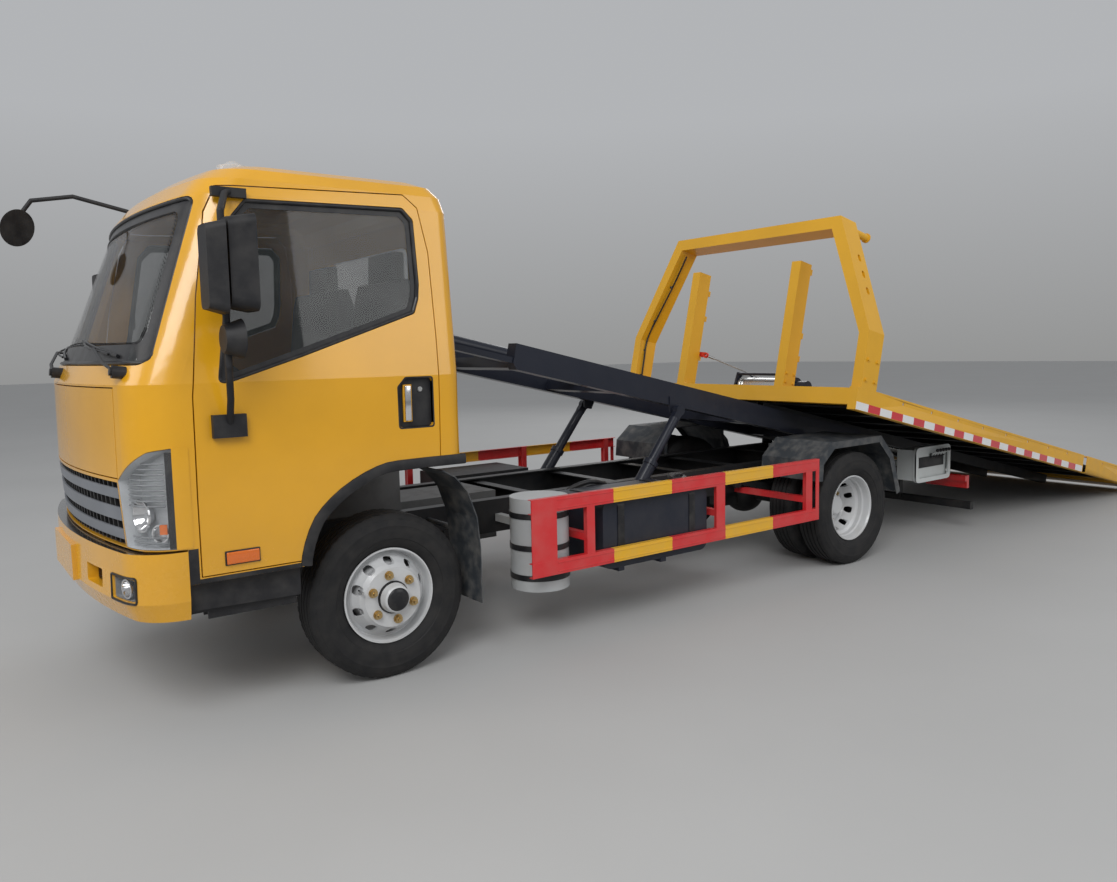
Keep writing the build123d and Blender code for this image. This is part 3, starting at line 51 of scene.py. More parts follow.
slopeUp = Vector((-sin(slope["angle"]), 0, cos(slope["angle"])))
pivot = Vector((axleX + slope["pivotX"], 0, slope["pivotZ"]))
deckOrigin = pivot + slopeForward * slope["along"] + slopeUp * slope["up"]
truck = Matrix.Translation((axleX, 0, 0))
deck = Matrix(((slopeForward.x, 0, slopeUp.x, deckOrigin.x), (0, 1, 0, 0),
               (slopeForward.z, 0, slopeUp.z, deckOrigin.z), (0, 0, 0, 1)))


def at(x, y, z):
    return Vector((axleX + x, y, z))


def addObject(name, data):
    made = bpy.data.objects.new(name, data)
    bpy.context.collection.objects.link(made)
    return made


# Camera, at the photograph's viewpoint
view = {"x": 1.658, "y": 4.3659, "z": 1.457, "yaw": 0.641, "pitch": 0.097, "roll": -0.020, "lens": 28.03,
        "sensor": 36, "far": 200, "offCentre": (2.6, -6.1), "frame": (1117, 882)}


def makeCamera():
    yaw, pitch, roll = view["yaw"], view["pitch"], view["roll"]
    ahead = Vector((-sin(yaw) * cos(pitch), -cos(yaw) * cos(pitch), -sin(pitch)))
    level = ahead.cross(Vector((0, 0, 1))).normalized()
    upright = level.cross(ahead)
    right = level * cos(roll) + upright * sin(roll)
    up = upright * cos(roll) - level * sin(roll)
    data = bpy.data.cameras.new("camera")
    camera = addObject("camera", data)
    turn = Matrix((right, up, -ahead)).transposed().to_4x4()
    camera.matrix_world = Matrix.Translation(at(view["x"], view["y"], view["z"])) @ turn
    data.lens = view["lens"]
    data.sensor_width = view["sensor"]
    data.shift_x = -view["offCentre"][0] / view["frame"][0]
    data.shift_y = view["offCentre"][1] / view["frame"][0]
    data.clip_end = view["far"]
    bpy.context.scene.camera = camera


makeCamera()
print("camera set")


# Shader maths on sockets
class Wire:
    def __init__(self, tree, socket):
        self.tree = tree
        self.socket = socket

    def math(self, operation, other=None):
        node = self.tree.nodes.new("ShaderNodeMath")
        node.operation = operation
        for socket, value in zip(node.inputs, (self,) if other is None else (self, other)):
            join(self.tree, socket, value)
        return Wire(self.tree, node.outputs[0])

    def __add__(self, other): return self.math("ADD", other)
    def __radd__(self, other): return self.math("ADD", other)
    def __sub__(self, other): return self.math("SUBTRACT", other)
    def __mul__(self, other): return self.math("MULTIPLY", other)
    def __gt__(self, other): return self.math("GREATER_THAN", other)
    def __lt__(self, other): return self.math("LESS_THAN", other)
    def __abs__(self): return self.math("ABSOLUTE")
    def wave(self): return self.math("SINE")


def join(tree, socket, value):
    if isinstance(value, Wire):
        tree.links.new(value.socket, socket)
    elif value is not None:
        socket.default_value = value


class Paint:
    def __init__(self, name):
        self.material = bpy.data.materials.new(name)
        self.material.use_nodes = True
        self.tree = self.material.node_tree
        self.shader = self.tree.nodes["Principled BSDF"]
        self.place = self.node("TexCoord", {}, {})["Object"]
        parts = self.node("SeparateXYZ", {}, {"Vector": self.place})
        self.x, self.y, self.z = parts["X"], parts["Y"], parts["Z"]

    def node(self, kind, settings, links):
        made = self.tree.nodes.new("ShaderNode" + kind)
        for key, value in settings.items():
            setattr(made, key, value)
        for key, value in links.items():
            join(self.tree, made.inputs[key], value)
        return {socket.name: Wire(self.tree, socket) for socket in made.outputs}

    def noise(self, scale, detail=4.0, rough=0.55, stretch=None):
        place = self.place
        if stretch:
            place = self.node("Mapping", {}, {"Vector": place, "Scale": stretch})["Vector"]
        found = self.node("TexNoise", {}, {"Vector": place, "Scale": scale, "Detail": detail,
                                           "Roughness": rough})
        return found.get("Fac") or found["Factor"]

    def ramp(self, value, low, high):
        links = {"Value": value, "From Min": low, "From Max": high}
        return self.node("MapRange", {"clamp": True}, links)["Result"]

    def mix(self, amount, first, second):
        made = self.tree.nodes.new("ShaderNodeMix")
        made.data_type = "RGBA"
        join(self.tree, made.inputs[0], amount)
        for socket, value in ((made.inputs[6], first), (made.inputs[7], second)):
            join(self.tree, socket, value if isinstance(value, Wire) else (*value, 1.0))
        return Wire(self.tree, made.outputs[2])

    def along(self, direction):
        normal = self.node("NewGeometry", {}, {})["Normal"]
        made = self.tree.nodes.new("ShaderNodeVectorMath")
        made.operation = "DOT_PRODUCT"
        join(self.tree, made.inputs[0], normal)
        made.inputs[1].default_value = direction
        return Wire(self.tree, made.outputs["Value"])

    def bump(self, height, strength, distance):
        return self.node("Bump", {}, {"Height": height, "Strength": strength, "Distance": distance})["Normal"]

    def set(self, **values):
        names = {"colour": "Base Color", "rough": "Roughness", "metal": "Metallic", "normal": "Normal",
                 "coat": "Coat Weight", "coatRough": "Coat Roughness", "alpha": "Alpha", "ior": "IOR",
                 "spec": "Specular IOR Level"}
        for key, value in values.items():
            join(self.tree, self.shader.inputs[names[key]], value)
        return self.material


# Real dirt colours, and "shade": a near-black laid as painted shade (with the underframe's black paint) under
# the bed, and also on the bumper's top
dirtAndShade = {"paint": (0.33, 0.29, 0.24), "plastic": (0.30, 0.28, 0.25), "guard": (0.36, 0.30, 0.25),
        "glass": (0.5, 0.5, 0.48), "scratch": (0.20, 0.13, 0.07), "shade": (0.012, 0.013, 0.015)}


# Paint with dust low down; "under" blackens the bed's underside as painted shade and the underframe's black
# paint, "ledge" the bumper's top
def gloss(name, colour, rough=0.28, dust=0.25, dustTop=0.9, coat=0.5, shade=0.06, scratch=0.0, spec=0.5,
          under=0.0, ledge=0.0):
    p = Paint(name)
    blotch = p.noise(2.3, 5)
    base = p.mix(p.ramp(blotch, 0.3, 0.7), [c * (1 - shade) for c in colour],
                 [min(1, c * (1 + shade)) for c in colour])
    low = p.ramp(p.z, dustTop, 0.15) * p.ramp(p.noise(9, 6), 0.3, 0.75)
    base = p.mix(low * dust, base, dirtAndShade["paint"])
    roughness = rough + low * dust * 0.7 + (p.noise(40, 3) - 0.5) * 0.06
    if scratch:
        lines = p.noise(26, 8, 0.7, stretch=(0.25, 1.2, 2.6))
        worn = p.ramp(lines, 0.66, 0.72) * p.ramp(p.noise(3.1, 4), 0.42, 0.6)
        base = p.mix(worn * scratch, base, dirtAndShade["scratch"])
        roughness = roughness + worn * 0.3 * scratch
    if under:
        # Painted shade, with the underframe's black paint: faces of the bed floor that point down or sideways
        # go near-black
        beneath = p.ramp(p.along(slopeUp), 0.5, 0.3) * p.ramp(abs(p.y), under, under - 0.001)
        base = p.mix(beneath, base, dirtAndShade["shade"])
    if ledge:
        onTop = p.ramp(p.along((0, 0, 1)), 0.7, 0.8) * p.ramp(p.z, ledge, ledge + 0.001)
        base = p.mix(onTop, base, dirtAndShade["shade"])
    peel = p.bump(p.noise(260, 2), 0.05, 0.0004)
    return p.set(colour=base, rough=roughness, coat=coat, coatRough=0.08, normal=peel, spec=spec)


def plastic(name, colour, rough=0.5, grain=900, depth=0.25, dust=0.07):
    p = Paint(name)
    mottled = p.noise(7, 5)
    dusty = p.ramp(p.noise(14, 6), 0.42, 0.75)
    base = p.mix(p.ramp(mottled, 0.3, 0.7), [c * 0.88 for c in colour], [min(1, c * 1.12) for c in colour])
    base = p.mix(dusty * dust, base, dirtAndShade["plastic"])
    return p.set(colour=base, rough=rough + dusty * 0.12 + (mottled - 0.5) * 0.1, spec=0.3,
                 normal=p.bump(p.noise(grain, 2), depth, 0.0006))


def metalFinish(name, colour, rough=0.3, stretch=(1, 1, 1), spots=0.2, metal=1.0):
    p = Paint(name)
    streaks = p.noise(120, 4, 0.6, stretch=stretch)
    stain = p.ramp(p.noise(11, 6), 0.45, 0.8)
    base = p.mix(stain * spots, p.mix(streaks, [c * 0.85 for c in colour], colour),
                 [c * 0.45 for c in colour])
    return p.set(colour=base, rough=rough + (streaks - 0.5) * 0.16 + stain * 0.15, metal=metal,
                 normal=p.bump(streaks, 0.08, 0.0005))


yellow = (0.70, 0.345, 0.010)
bedYellow = (0.72, 0.375, 0.012)
finish = {
    "cab": gloss("cabPaint", yellow, rough=0.25, dust=0.14, coat=0.6),
    "bumper": gloss("bumperPaint", yellow, rough=0.25, dust=0.14, coat=0.6, ledge=0.69),
    "bed": gloss("bedPaint", bedYellow, rough=0.42, dust=0.22, dustTop=1.4, coat=0.15, scratch=0.35),
    "chassis": gloss("chassisPaint", (0.010, 0.011, 0.013), rough=0.40, dust=0.08, dustTop=1.1, coat=0.05,
                     spec=0.25),
    "tilt": gloss("tiltPaint", (0.014, 0.017, 0.028), rough=0.34, dust=0.06, dustTop=1.6, coat=0.12,
                  spec=0.25),
    "blackGrain": plastic("blackGrain", (0.016, 0.016, 0.018), 0.52),
    "blackSmooth": plastic("blackSmooth", (0.016, 0.016, 0.018), 0.3, grain=300, depth=0.08, dust=0.1),
    # The bed floor's underside is darkened: painted shade and the underframe's black paint
    "bedFloor": gloss("bedFloorPaint", bedYellow, rough=0.45, dust=0.25, dustTop=1.4, coat=0.1, scratch=0.4,
                      under=1.2),
    "wing": plastic("wingPlastic", (0.040, 0.046, 0.053), 0.5, dust=0.35),
    "tankSilver": gloss("tankSilver", (0.42, 0.44, 0.45), rough=0.34, dust=0.4, coat=0.2),
    "greyTrim": plastic("greyTrim", (0.17, 0.18, 0.20), 0.38, grain=300, depth=0.06),
    "greyBox": gloss("greyBoxPaint", (0.62, 0.65, 0.65), rough=0.45, dust=0.3, coat=0.1),
    "seat": plastic("seatCloth", (0.045, 0.045, 0.05), 0.85, grain=1400, depth=0.6, dust=0.05),
    "dash": plastic("dashPlastic", (0.05, 0.05, 0.052), 0.6),
    "wheel": gloss("wheelSilver", (0.56, 0.57, 0.58), rough=0.34, dust=0.3, dustTop=0.8, coat=0.3,
                   shade=0.04),
    "iron": metalFinish("castIron", (0.14, 0.14, 0.14), 0.6, spots=0.4, metal=0.6),
    "steel": metalFinish("brightSteel", (0.62, 0.62, 0.61), 0.24, stretch=(0.2, 3, 3)),
    "chrome": metalFinish("chrome", (0.82, 0.82, 0.83), 0.08, spots=0.05),
    "brass": metalFinish("brassTint", (0.60, 0.43, 0.20), 0.3),
    "redPaint": gloss("redPaint", (0.55, 0.02, 0.015), rough=0.35, dust=0.2, coat=0.3),
    "rope": metalFinish("wireRope", (0.33, 0.33, 0.33), 0.45, spots=0.5),
}


def makeGlass(name, tint, alpha):
    p = Paint(name)
    film = p.ramp(p.noise(5, 6), 0.45, 0.8)
    return p.set(colour=p.mix(film * 0.15, tint, dirtAndShade["glass"]), rough=0.02 + film * 0.05, alpha=alpha,
                 coat=0.8, coatRough=0.02, ior=1.5)


def makeLens(name, colour, alpha, pattern=120):
    p = Paint(name)
    flutes = (p.y * pattern).wave() * 0.5 + (p.z * pattern).wave() * 0.5
    film = p.noise(12, 4)
    return p.set(colour=p.mix(film, [c * 0.9 for c in colour], colour), rough=0.07 + film * 0.06, alpha=alpha,
                 coat=1.0, coatRough=0.03, normal=p.bump(flutes, 0.15, 0.001))


def makeTyre():
    p = Paint("tyreRubber")
    dusty = p.ramp(p.noise(16, 6), 0.35, 0.75)
    base = p.mix(dusty * 0.35, (0.014, 0.014, 0.015), (0.060, 0.056, 0.052))
    return p.set(colour=base, rough=0.62 + dusty * 0.2, spec=0.25,
                 normal=p.bump(p.noise(420, 3), 0.2, 0.0006))


guardBands = (-1.180, -1.592, -2.012, -2.425)


def makeGuardPaint():
    p = Paint("guardPaint")
    edges = [at(x, 0, 0).x for x in guardBands]
    red, yellowBand = (0.62, 0.018, 0.022), (0.78, 0.42, 0.012)
    isYellow = (p.x < edges[0]) * (p.x > edges[1]) + (p.x < edges[2]) * (p.x > edges[3])
    base = p.mix(isYellow, red, yellowBand)
    low = p.ramp(p.noise(8, 6), 0.4, 0.8)
    base = p.mix(low * 0.18, base, dirtAndShade["guard"])
    return p.set(colour=base, rough=0.34 + low * 0.25, coat=0.35, coatRough=0.12,
                 normal=p.bump(p.noise(180, 2), 0.05, 0.0004))


finish["glass"] = makeGlass("cabGlassTint", (0.012, 0.018, 0.018), 0.34)
finish["lens"] = makeLens("clearLens", (0.80, 0.82, 0.84), 0.30)
finish["cover"] = makeGlass("lampCover", (0.30, 0.31, 0.32), 0.10)
finish["lampBowl"] = plastic("lampBowl", (0.56, 0.58, 0.60), 0.22, grain=300, depth=0.05, dust=0.1)
finish["tapeWhite"] = makeLens("tapeWhite", (0.80, 0.80, 0.80), 1.0, 700)
finish["tapeRed"] = makeLens("tapeRed", (0.62, 0.02, 0.03), 1.0, 700)
finish["mirror"] = metalFinish("mirrorGlass", (0.80, 0.82, 0.84), 0.04, spots=0.05)
finish["lampDark"] = plastic("lampDark", (0.22, 0.23, 0.24), 0.2, grain=300, depth=0.05, dust=0.05)
finish["amber"] = makeLens("amberLens", (0.75, 0.16, 0.01), 0.95, 400)
finish["redLens"] = makeLens("redLens", (0.55, 0.01, 0.01), 0.95, 400)
finish["tyre"] = makeTyre()
finish["guard"] = makeGuardPaint()
print("materials made")

# Which finish each CAD node gets
nodeFinish = {
    "cab": "cab_shell door_left door_right front_lid",
    "bumper": "bumper",
    "glass": "cab_glass door_glass_left door_glass_right",
    "blackSmooth": "grille",
    "greyTrim": "grille_bars",
    "cover": "front_lamps",
    "lens": "roof_lamp",
    "redLens": "tail_lamps",
    "blackGrain": "cab_steps steering_wheel door_mirror_left door_mirror_right front_mirror battery_box",
    "dash": "dashboard",
    "seat": "seats",
    "iron": "engine_block",
    "tyre": "front_tyre_left front_tyre_right rear_tyres_left rear_tyres_right",
    "wheel": "front_rim_left front_rim_right rear_rims_left rear_rims_right",
    "chassis": "knuckle_left knuckle_right front_axle tie_rod rear_axle leaf_springs chassis_frame "
               "underrun_bar",
    "wing": "mudguards",
    "guard": "side_guards",
    "tilt": "fuel_tank tilt_frame slide_barrel tilt_barrels tilt_rams winch_frame",
    "tankSilver": "reagent_tank",
    "greyBox": "control_box",
    "steel": "slide_rod winch_drum",
    "bed": "deck_frame deck_tail headboard",
    "bedFloor": "deck_floor",
    "redPaint": "winch_hook",
    "rope": "winch_rope",
}
painted = 0
for key, names in nodeFinish.items():
    for name in names.split():
        mesh = nodes[name].data
        mesh.materials.clear()
        mesh.materials.append(finish[key])
        painted += 1
print("nodes painted", painted)


# Shapes in a bmesh, each placed by a matrix from its own frame into the truck's
def addBox(bm, xs, ys, zs, place=None, bevel=0.0, segments=2):
    size = [high - low for low, high in (xs, ys, zs)]
    middle = [(low + high) / 2 for low, high in (xs, ys, zs)]
    made = bmesh.ops.create_cube(bm, size=1.0)["verts"]
    bmesh.ops.scale(bm, vec=size, verts=made)
    if bevel:
        edges = list({e for v in made for e in v.link_edges})
        made = list(set(bmesh.ops.bevel(bm, geom=edges, offset=bevel, segments=segments, affect="EDGES",
                                        profile=0.5, material=-1)["verts"]))
    bmesh.ops.translate(bm, vec=middle, verts=made)
    if place is not None:
        bmesh.ops.transform(bm, matrix=place, verts=made)


def addSideBox(bm, s, xs, ys, zs, place=truck, bevel=0.0, segments=2):
    addBox(bm, xs, sorted(s * y for y in ys), zs, place, bevel, segments)


def addRod(bm, start, end, radius, sides=16, place=None, tip=None):
    start, end = Vector(start), Vector(end)
    run = end - start
    made = bmesh.ops.create_cone(bm, cap_ends=True, segments=sides, radius1=radius,
                                 radius2=radius if tip is None else tip, depth=run.length)["verts"]
    turn = Vector((0, 0, 1)).rotation_difference(run).to_matrix().to_4x4()
    bmesh.ops.transform(bm, matrix=Matrix.Translation((start + end) / 2) @ turn, verts=made)
    if place is not None:
        bmesh.ops.transform(bm, matrix=place, verts=made)


def addSpin(bm, profile, centre, axis=(0, 1, 0), steps=48):
    axis = Vector(axis).normalized()
    side = axis.orthogonal().normalized()
    verts = [bm.verts.new(Vector(centre) + axis * along + side * max(radius, 1e-4))
             for along, radius in profile]
    edges = [bm.edges.new(pair) for pair in zip(verts, verts[1:])]
    bmesh.ops.spin(bm, geom=verts + edges, cent=centre, axis=axis, angle=2 * pi, steps=steps, use_merge=True)


def loft(bm, rings, closed=False, capped=False):
    faces = []
    for first, second in zip(rings, rings[1:] + (rings[:1] if closed else [])):
        for k in range(len(first)):
            m = (k + 1) % len(first)
            faces.append(bm.faces.new((first[k], first[m], second[m], second[k])))
    if capped:
        bm.faces.new(rings[0])
        bm.faces.new(rings[-1][::-1])
    return faces


def thicken(bm, faces, thickness):
    bmesh.ops.recalc_face_normals(bm, faces=faces)
    bmesh.ops.solidify(bm, geom=faces, thickness=thickness)


def finishPiece(bm, name, key, body, smoothAngle=35, stand=()):
    mesh = bpy.data.meshes.new(name)
    bmesh.ops.remove_doubles(bm, verts=bm.verts, dist=1e-5)
    bmesh.ops.recalc_face_normals(bm, faces=bm.faces)
    bm.to_mesh(mesh)
    bm.free()
    piece = addObject(name, mesh)
    mesh.materials.append(finish[key])
    mesh.shade_smooth()
    mesh.set_sharp_from_angle(angle=radians(smoothAngle))
    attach(piece, body)
    if stand:
        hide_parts(*stand)


# Tyres: crown with grooves, shoulder blocks and sidewall rings; the form is the CAD tyre's
tyre = {"bead": 0.209, "beadHalf": 0.056, "crown": tyreRadius, "crownDrop": 0.0045, "treadHalf": 0.074,
        "grooves": (-0.046, -0.016, 0.016, 0.046), "grooveHalf": 0.0045, "grooveDepth": 0.010, "steps": 96,
        "blocks": 54, "blockSpot": (0.0775, 0.3572), "blockLean": radians(-52),
        "block": ((-0.0125, 0.0125), (-0.0165, 0.0165), (-0.005, 0.0045)),
        "frontY": (0.762,), "rearY": (0.870, 0.630)}


def tyreProfile():
    t = tyre
    wall = [(-0.056, t["bead"]), (-0.066, t["bead"] + 0.012), (-0.078, 0.232), (-0.0905, 0.252),
            (-0.0915, 0.258), (-0.0955, 0.262), (-0.0992, 0.286), (-0.0996, 0.300), (-0.0975, 0.316),
            (-0.0985, 0.319), (-0.0935, 0.334), (-0.0905, 0.346), (-t["treadHalf"] - 0.008, 0.3625),
            (-t["treadHalf"], t["crown"] - 0.0050)]
    top = []
    for groove in t["grooves"]:
        drop = t["crownDrop"] * (groove / t["treadHalf"]) ** 2
        g = t["grooveHalf"]
        for dy, dr in ((-g, 0), (-g * 0.6, -t["grooveDepth"]), (g * 0.6, -t["grooveDepth"]), (g, 0)):
            top.append((groove + dy, t["crown"] - drop + dr))
    return wall + top + [(-y, r) for y, r in reversed(wall)]


def makeTyres(name, centres, x, body, node):
    bm = bmesh.new()
    out, up = tyre["blockSpot"]
    for centre in centres:
        hub = at(x, centre, tyreRadius)
        addSpin(bm, tyreProfile(), hub, steps=tyre["steps"])
        addSpin(bm, [(y, tyre["bead"]) for y in (-tyre["beadHalf"], tyre["beadHalf"])], hub,
                steps=tyre["steps"])
        for side in (-1, 1):
            for i in range(tyre["blocks"]):
                turn = Matrix.Rotation(2 * pi * (i + 0.5 * (side > 0)) / tyre["blocks"], 4, "Y")
                slab = Matrix.Translation(hub) @ turn @ Matrix.Translation((0, side * out, up))
                slab = slab @ Matrix.Rotation(side * tyre["blockLean"], 4, "X")
                addBox(bm, *tyre["block"], slab)
    finishPiece(bm, name, "tyre", body, 30, (node,))


for side, s in (("left", 1), ("right", -1)):
    makeTyres("frontTyreDressed_" + side, [s * y for y in tyre["frontY"]], 0, "front_wheel_" + side,
              "front_tyre_" + side)
    makeTyres("rearTyresDressed_" + side, [s * y for y in tyre["rearY"]], rearX, "rear_wheels_" + side,
              "rear_tyres_" + side)
print("tyres made")

# Wheel nuts, hub caps and valves
hubs = {"nutCircle": 0.103, "nutRadius": 0.0165, "nutHeight": 0.020, "nutTurn": 0.35, "nutCount": 6,
        "washer": 0.021, "studRadius": 0.0095, "studTip": 0.007, "studHeight": 0.010, "flangeBolts": 8,
        "flangeCircle": 0.080, "frontFace": 0.868, "rearFace": 0.750}
frontCap = [(-0.004, 0.072), (0.010, 0.070), (0.014, 0.060), (0.046, 0.056), (0.056, 0.046), (0.060, 0.030),
            (0.060, 0.0)]
rearCap = [(-0.004, 0.088), (0.012, 0.086), (0.016, 0.070), (0.060, 0.066), (0.064, 0.058), (0.064, 0.0)]


def makeNuts(s, x, face, body):
    bm = bmesh.new()
    for i in range(hubs["nutCount"]):
        angle = 2 * pi * i / hubs["nutCount"] + hubs["nutTurn"]
        spot = at(x + hubs["nutCircle"] * cos(angle), 0, tyreRadius + hubs["nutCircle"] * sin(angle))
        base, top = spot + Vector((0, s * face, 0)), spot + Vector((0, s * (face + hubs["nutHeight"]), 0))
        addRod(bm, base - Vector((0, s * 0.001, 0)), base + Vector((0, s * 0.004, 0)), hubs["washer"], 20)
        addRod(bm, base, top, hubs["nutRadius"], 6)
        addRod(bm, top, top + Vector((0, s * hubs["studHeight"], 0)), hubs["studRadius"], 12,
               tip=hubs["studTip"])
    finishPiece(bm, f"wheelNuts_{body}", "brass", body, 30)


def makeCap(s, x, face, body, rear):
    bm = bmesh.new()
    hub = at(x, s * face, tyreRadius)
    addSpin(bm, rearCap if rear else frontCap, hub, axis=(0, s, 0), steps=40)
    for i in range(hubs["flangeBolts"] if rear else 0):
        angle = 2 * pi * i / hubs["flangeBolts"]
        spot = hub + Vector((hubs["flangeCircle"] * cos(angle), 0, hubs["flangeCircle"] * sin(angle)))
        addRod(bm, spot + Vector((0, s * 0.010, 0)), spot + Vector((0, s * 0.020, 0)), 0.006, 6)
    finishPiece(bm, f"hubCap_{body}", "iron" if rear else "blackSmooth", body, 40)


def makeValve(s, x, face, body):
    bm = bmesh.new()
    start = at(x + 0.150, s * (face - 0.03), tyreRadius + 0.05)
    addRod(bm, start, start + Vector((0.006, s * 0.055, 0.002)), 0.0045, 10)
    addRod(bm, start + Vector((0.006, s * 0.050, 0.002)), start + Vector((0.0075, s * 0.066, 0.0025)),
           0.0062, 10)
    finishPiece(bm, f"valve_{body}", "steel", body, 40)


for side, s in (("left", 1), ("right", -1)):
    for x, face, body, rear in ((0, hubs["frontFace"], "front_wheel_" + side, False),
                                (rearX, hubs["rearFace"], "rear_wheels_" + side, True)):
        makeNuts(s, x, face, body)
        makeCap(s, x, face, body, rear)
        makeValve(s, x, face, body)
print("wheels dressed")


# Points on the CAD's own surfaces
rayStart = 2.5
missReach = 1.2


def onSkin(node, origin, direction, lift=0.0):
    ahead = Vector(direction).normalized()
    found, spot = nodes[node].ray_cast(Vector(origin), ahead)[:2]
    if not found:
        spot = nodes[node].closest_point_on_mesh(Vector(origin) + ahead * missReach)[1]
    return spot - ahead * lift


def onFront(node, y, z, lift=0.0):
    return onSkin(node, at(rayStart, y, z), (-1, 0, 0), lift)


def onSide(node, s, x, z, lift=0.0):
    return onSkin(node, at(x, s * rayStart, z), (0, -s, 0), lift)


# Flat outlines with rounded corners
def cutCorner(corners, i, radius):
    before, corner, after = (Vector(corners[(i + k) % len(corners)]) for k in (-1, 0, 1))
    back, ahead = (before - corner).normalized(), (after - corner).normalized()
    half = back.angle(ahead) / 2
    reach = min(radius / max(0.05, sin(half) / cos(half)), (before - corner).length * 0.45,
                (after - corner).length * 0.45)
    return corner + back * reach, corner, corner + ahead * reach


def roundLoop(corners, radius, steps=6, runs=8):
    loop = []
    for i in range(len(corners)):
        first, corner, last = cutCorner(corners, i, radius)
        for k in range(steps + 1):
            t = k / steps
            loop.append(first * (1 - t) ** 2 + corner * 2 * t * (1 - t) + last * t ** 2)
        target = cutCorner(corners, i + 1, radius)[0]
        loop += [last.lerp(target, k / runs) for k in range(1, runs)]
    return loop


def rectangle(low, high, s=1):
    return [(s * low[0], low[1]), (s * high[0], low[1]), (s * high[0], high[1]), (s * low[0], high[1])]


def addBand(bm, outer, inner, place, thick=0.0015, steps=3):
    rows = [[bm.verts.new(place(a.lerp(b, k / steps))) for a, b in zip(outer, inner)]
            for k in range(steps + 1)]
    thicken(bm, loft(bm, rows), thick)


def addTube(bm, points, radius, sides=8, closed=False, flat=1.0):
    rings = []
    count = len(points)
    for i, point in enumerate(points):
        back = points[i - 1] if (i or closed) else points[i]
        ahead = points[(i + 1) % count] if (i < count - 1 or closed) else points[i]
        run = (ahead - back).normalized()
        side = Vector((0.13, 0.21, 0.97)).cross(run).normalized()
        up = run.cross(side)
        rings.append([bm.verts.new(point + side * radius * cos(2 * pi * k / sides)
                                   + up * radius * flat * sin(2 * pi * k / sides)) for k in range(sides)])
    loft(bm, rings, closed, not closed)


# Windscreen border with its rows of dots, and the seal
screen = {"corners": ((-0.885, 1.442), (0.885, 1.442), (0.872, 1.525), (0.793, 2.070), (-0.793, 2.070),
                      (-0.872, 1.525)),
          "inner": ((-0.820, 1.512), (0.820, 1.512), (0.826, 1.560), (0.748, 2.026), (-0.748, 2.026),
                    (-0.826, 1.560)),
          "middle": (0, 1.77), "dotPitch": 0.011, "dots": ((0.008, 0.0034, 0.0), (0.017, 0.0024, 0.5)),
          "sealRadius": 0.0095}


def onScreen(point, lift=0.0015):
    return onFront("cab_glass", point.x, point.y, lift)


bm = bmesh.new()
outer, inner = roundLoop(screen["corners"], 0.045, 6, 24), roundLoop(screen["inner"], 0.070, 6, 24)
addBand(bm, outer, inner, onScreen)
for a, b in zip(inner, inner[1:] + inner[:1]):
    toMiddle = (Vector(screen["middle"]) - a).normalized()
    count = max(1, int((b - a).length / screen["dotPitch"]))
    for row, size, shift in screen["dots"]:
        for k in range(count):
            spot = onScreen(a.lerp(b, (k + shift) / count) + toMiddle * row)
            addRod(bm, spot - Vector((0.0012, 0, 0)), spot + Vector((0.0008, 0, 0)), size, 5)
finishPiece(bm, "screenBorder", "blackSmooth", "cab")
bm = bmesh.new()
addTube(bm, [onScreen(p, 0.004) for p in outer], screen["sealRadius"], 8, True, 0.8)
finishPiece(bm, "screenSeal", "blackSmooth", "cab")
print("windscreen dressed")

# Door window frames, seals, handles, markers and arch flares on both sides
windowCorners = ((0.716, 1.359), (0.663, 1.369), (0.384, 1.459), (-0.128, 1.636), (-0.152, 1.700),
                 (-0.160, 1.760), (-0.158, 2.034), (-0.116, 2.080), (0.560, 2.064), (0.615, 1.998))
windowInner = ((0.686, 1.392), (0.655, 1.398), (0.392, 1.484), (-0.104, 1.655), (-0.124, 1.706),
               (-0.130, 1.765), (-0.128, 2.016), (-0.104, 2.050), (0.545, 2.036), (0.594, 1.984))
handle = {"pocket": ((-0.190, 1.137), (-0.029, 1.137), (-0.029, 1.312), (-0.064, 1.349), (-0.190, 1.349)),
          "bezel": ((-0.197, 1.130), (-0.022, 1.130), (-0.022, 1.315), (-0.061, 1.356), (-0.197, 1.356)),
          "floor": 0.9262, "rim": 0.9448, "lever": ((-0.0865, -0.0575), (0.9335, 0.9435), (1.164, 1.318)),
          "lock": (-0.136, 1.300), "lockRings": ((0.926, 0.9315, 0.011), (0.9315, 0.9335, 0.0085)),
          "keyhole": ((-0.1370, -0.1350), (0.9330, 0.9338), (1.2945, 1.3055))}
marker = {"base": ((0.599, 0.734), (0.9440, 0.9500), (0.654, 0.711)),
          "lens": ((0.604, 0.729), (0.9490, 0.9575), (0.659, 0.706)), "flutes": 15, "first": 0.611,
          "pitch": 0.0079, "width": 0.003, "ys": (0.9570, 0.9583), "zs": (0.664, 0.701)}
archPath = ((0.424, 0.604), (0.419, 0.640), (0.406, 0.690), (0.386, 0.742), (0.360, 0.790), (0.328, 0.826),
            (0.290, 0.860), (0.245, 0.893), (0.195, 0.922), (0.140, 0.948), (0.085, 0.968), (0.040, 0.979),
            (-0.010, 0.983), (-0.150, 0.985), (-0.250, 0.985), (-0.344, 0.985))
archMiddle = Vector((-0.05, 0.375))
flareProfile = ((0.014, 0.9452), (0.012, 0.9515), (0.002, 0.9560), (-0.020, 0.9575), (-0.030, 0.9540),
                (-0.033, 0.9430), (-0.033, 0.905), (-0.027, 0.905), (-0.024, 0.9445))


def addFlare(bm, s):
    rings = []
    path = [Vector(p) for p in archPath]
    for i, spot in enumerate(path):
        run = (path[min(len(path) - 1, i + 1)] - path[max(0, i - 1)]).normalized()
        out = Vector((-run.y, run.x))
        if out.dot(spot - archMiddle) < 0:
            out = -out
        rings.append([bm.verts.new(at(spot.x + out.x * d, s * y, spot.y + out.y * d))
                      for d, y in flareProfile])
    loft(bm, rings, capped=True)


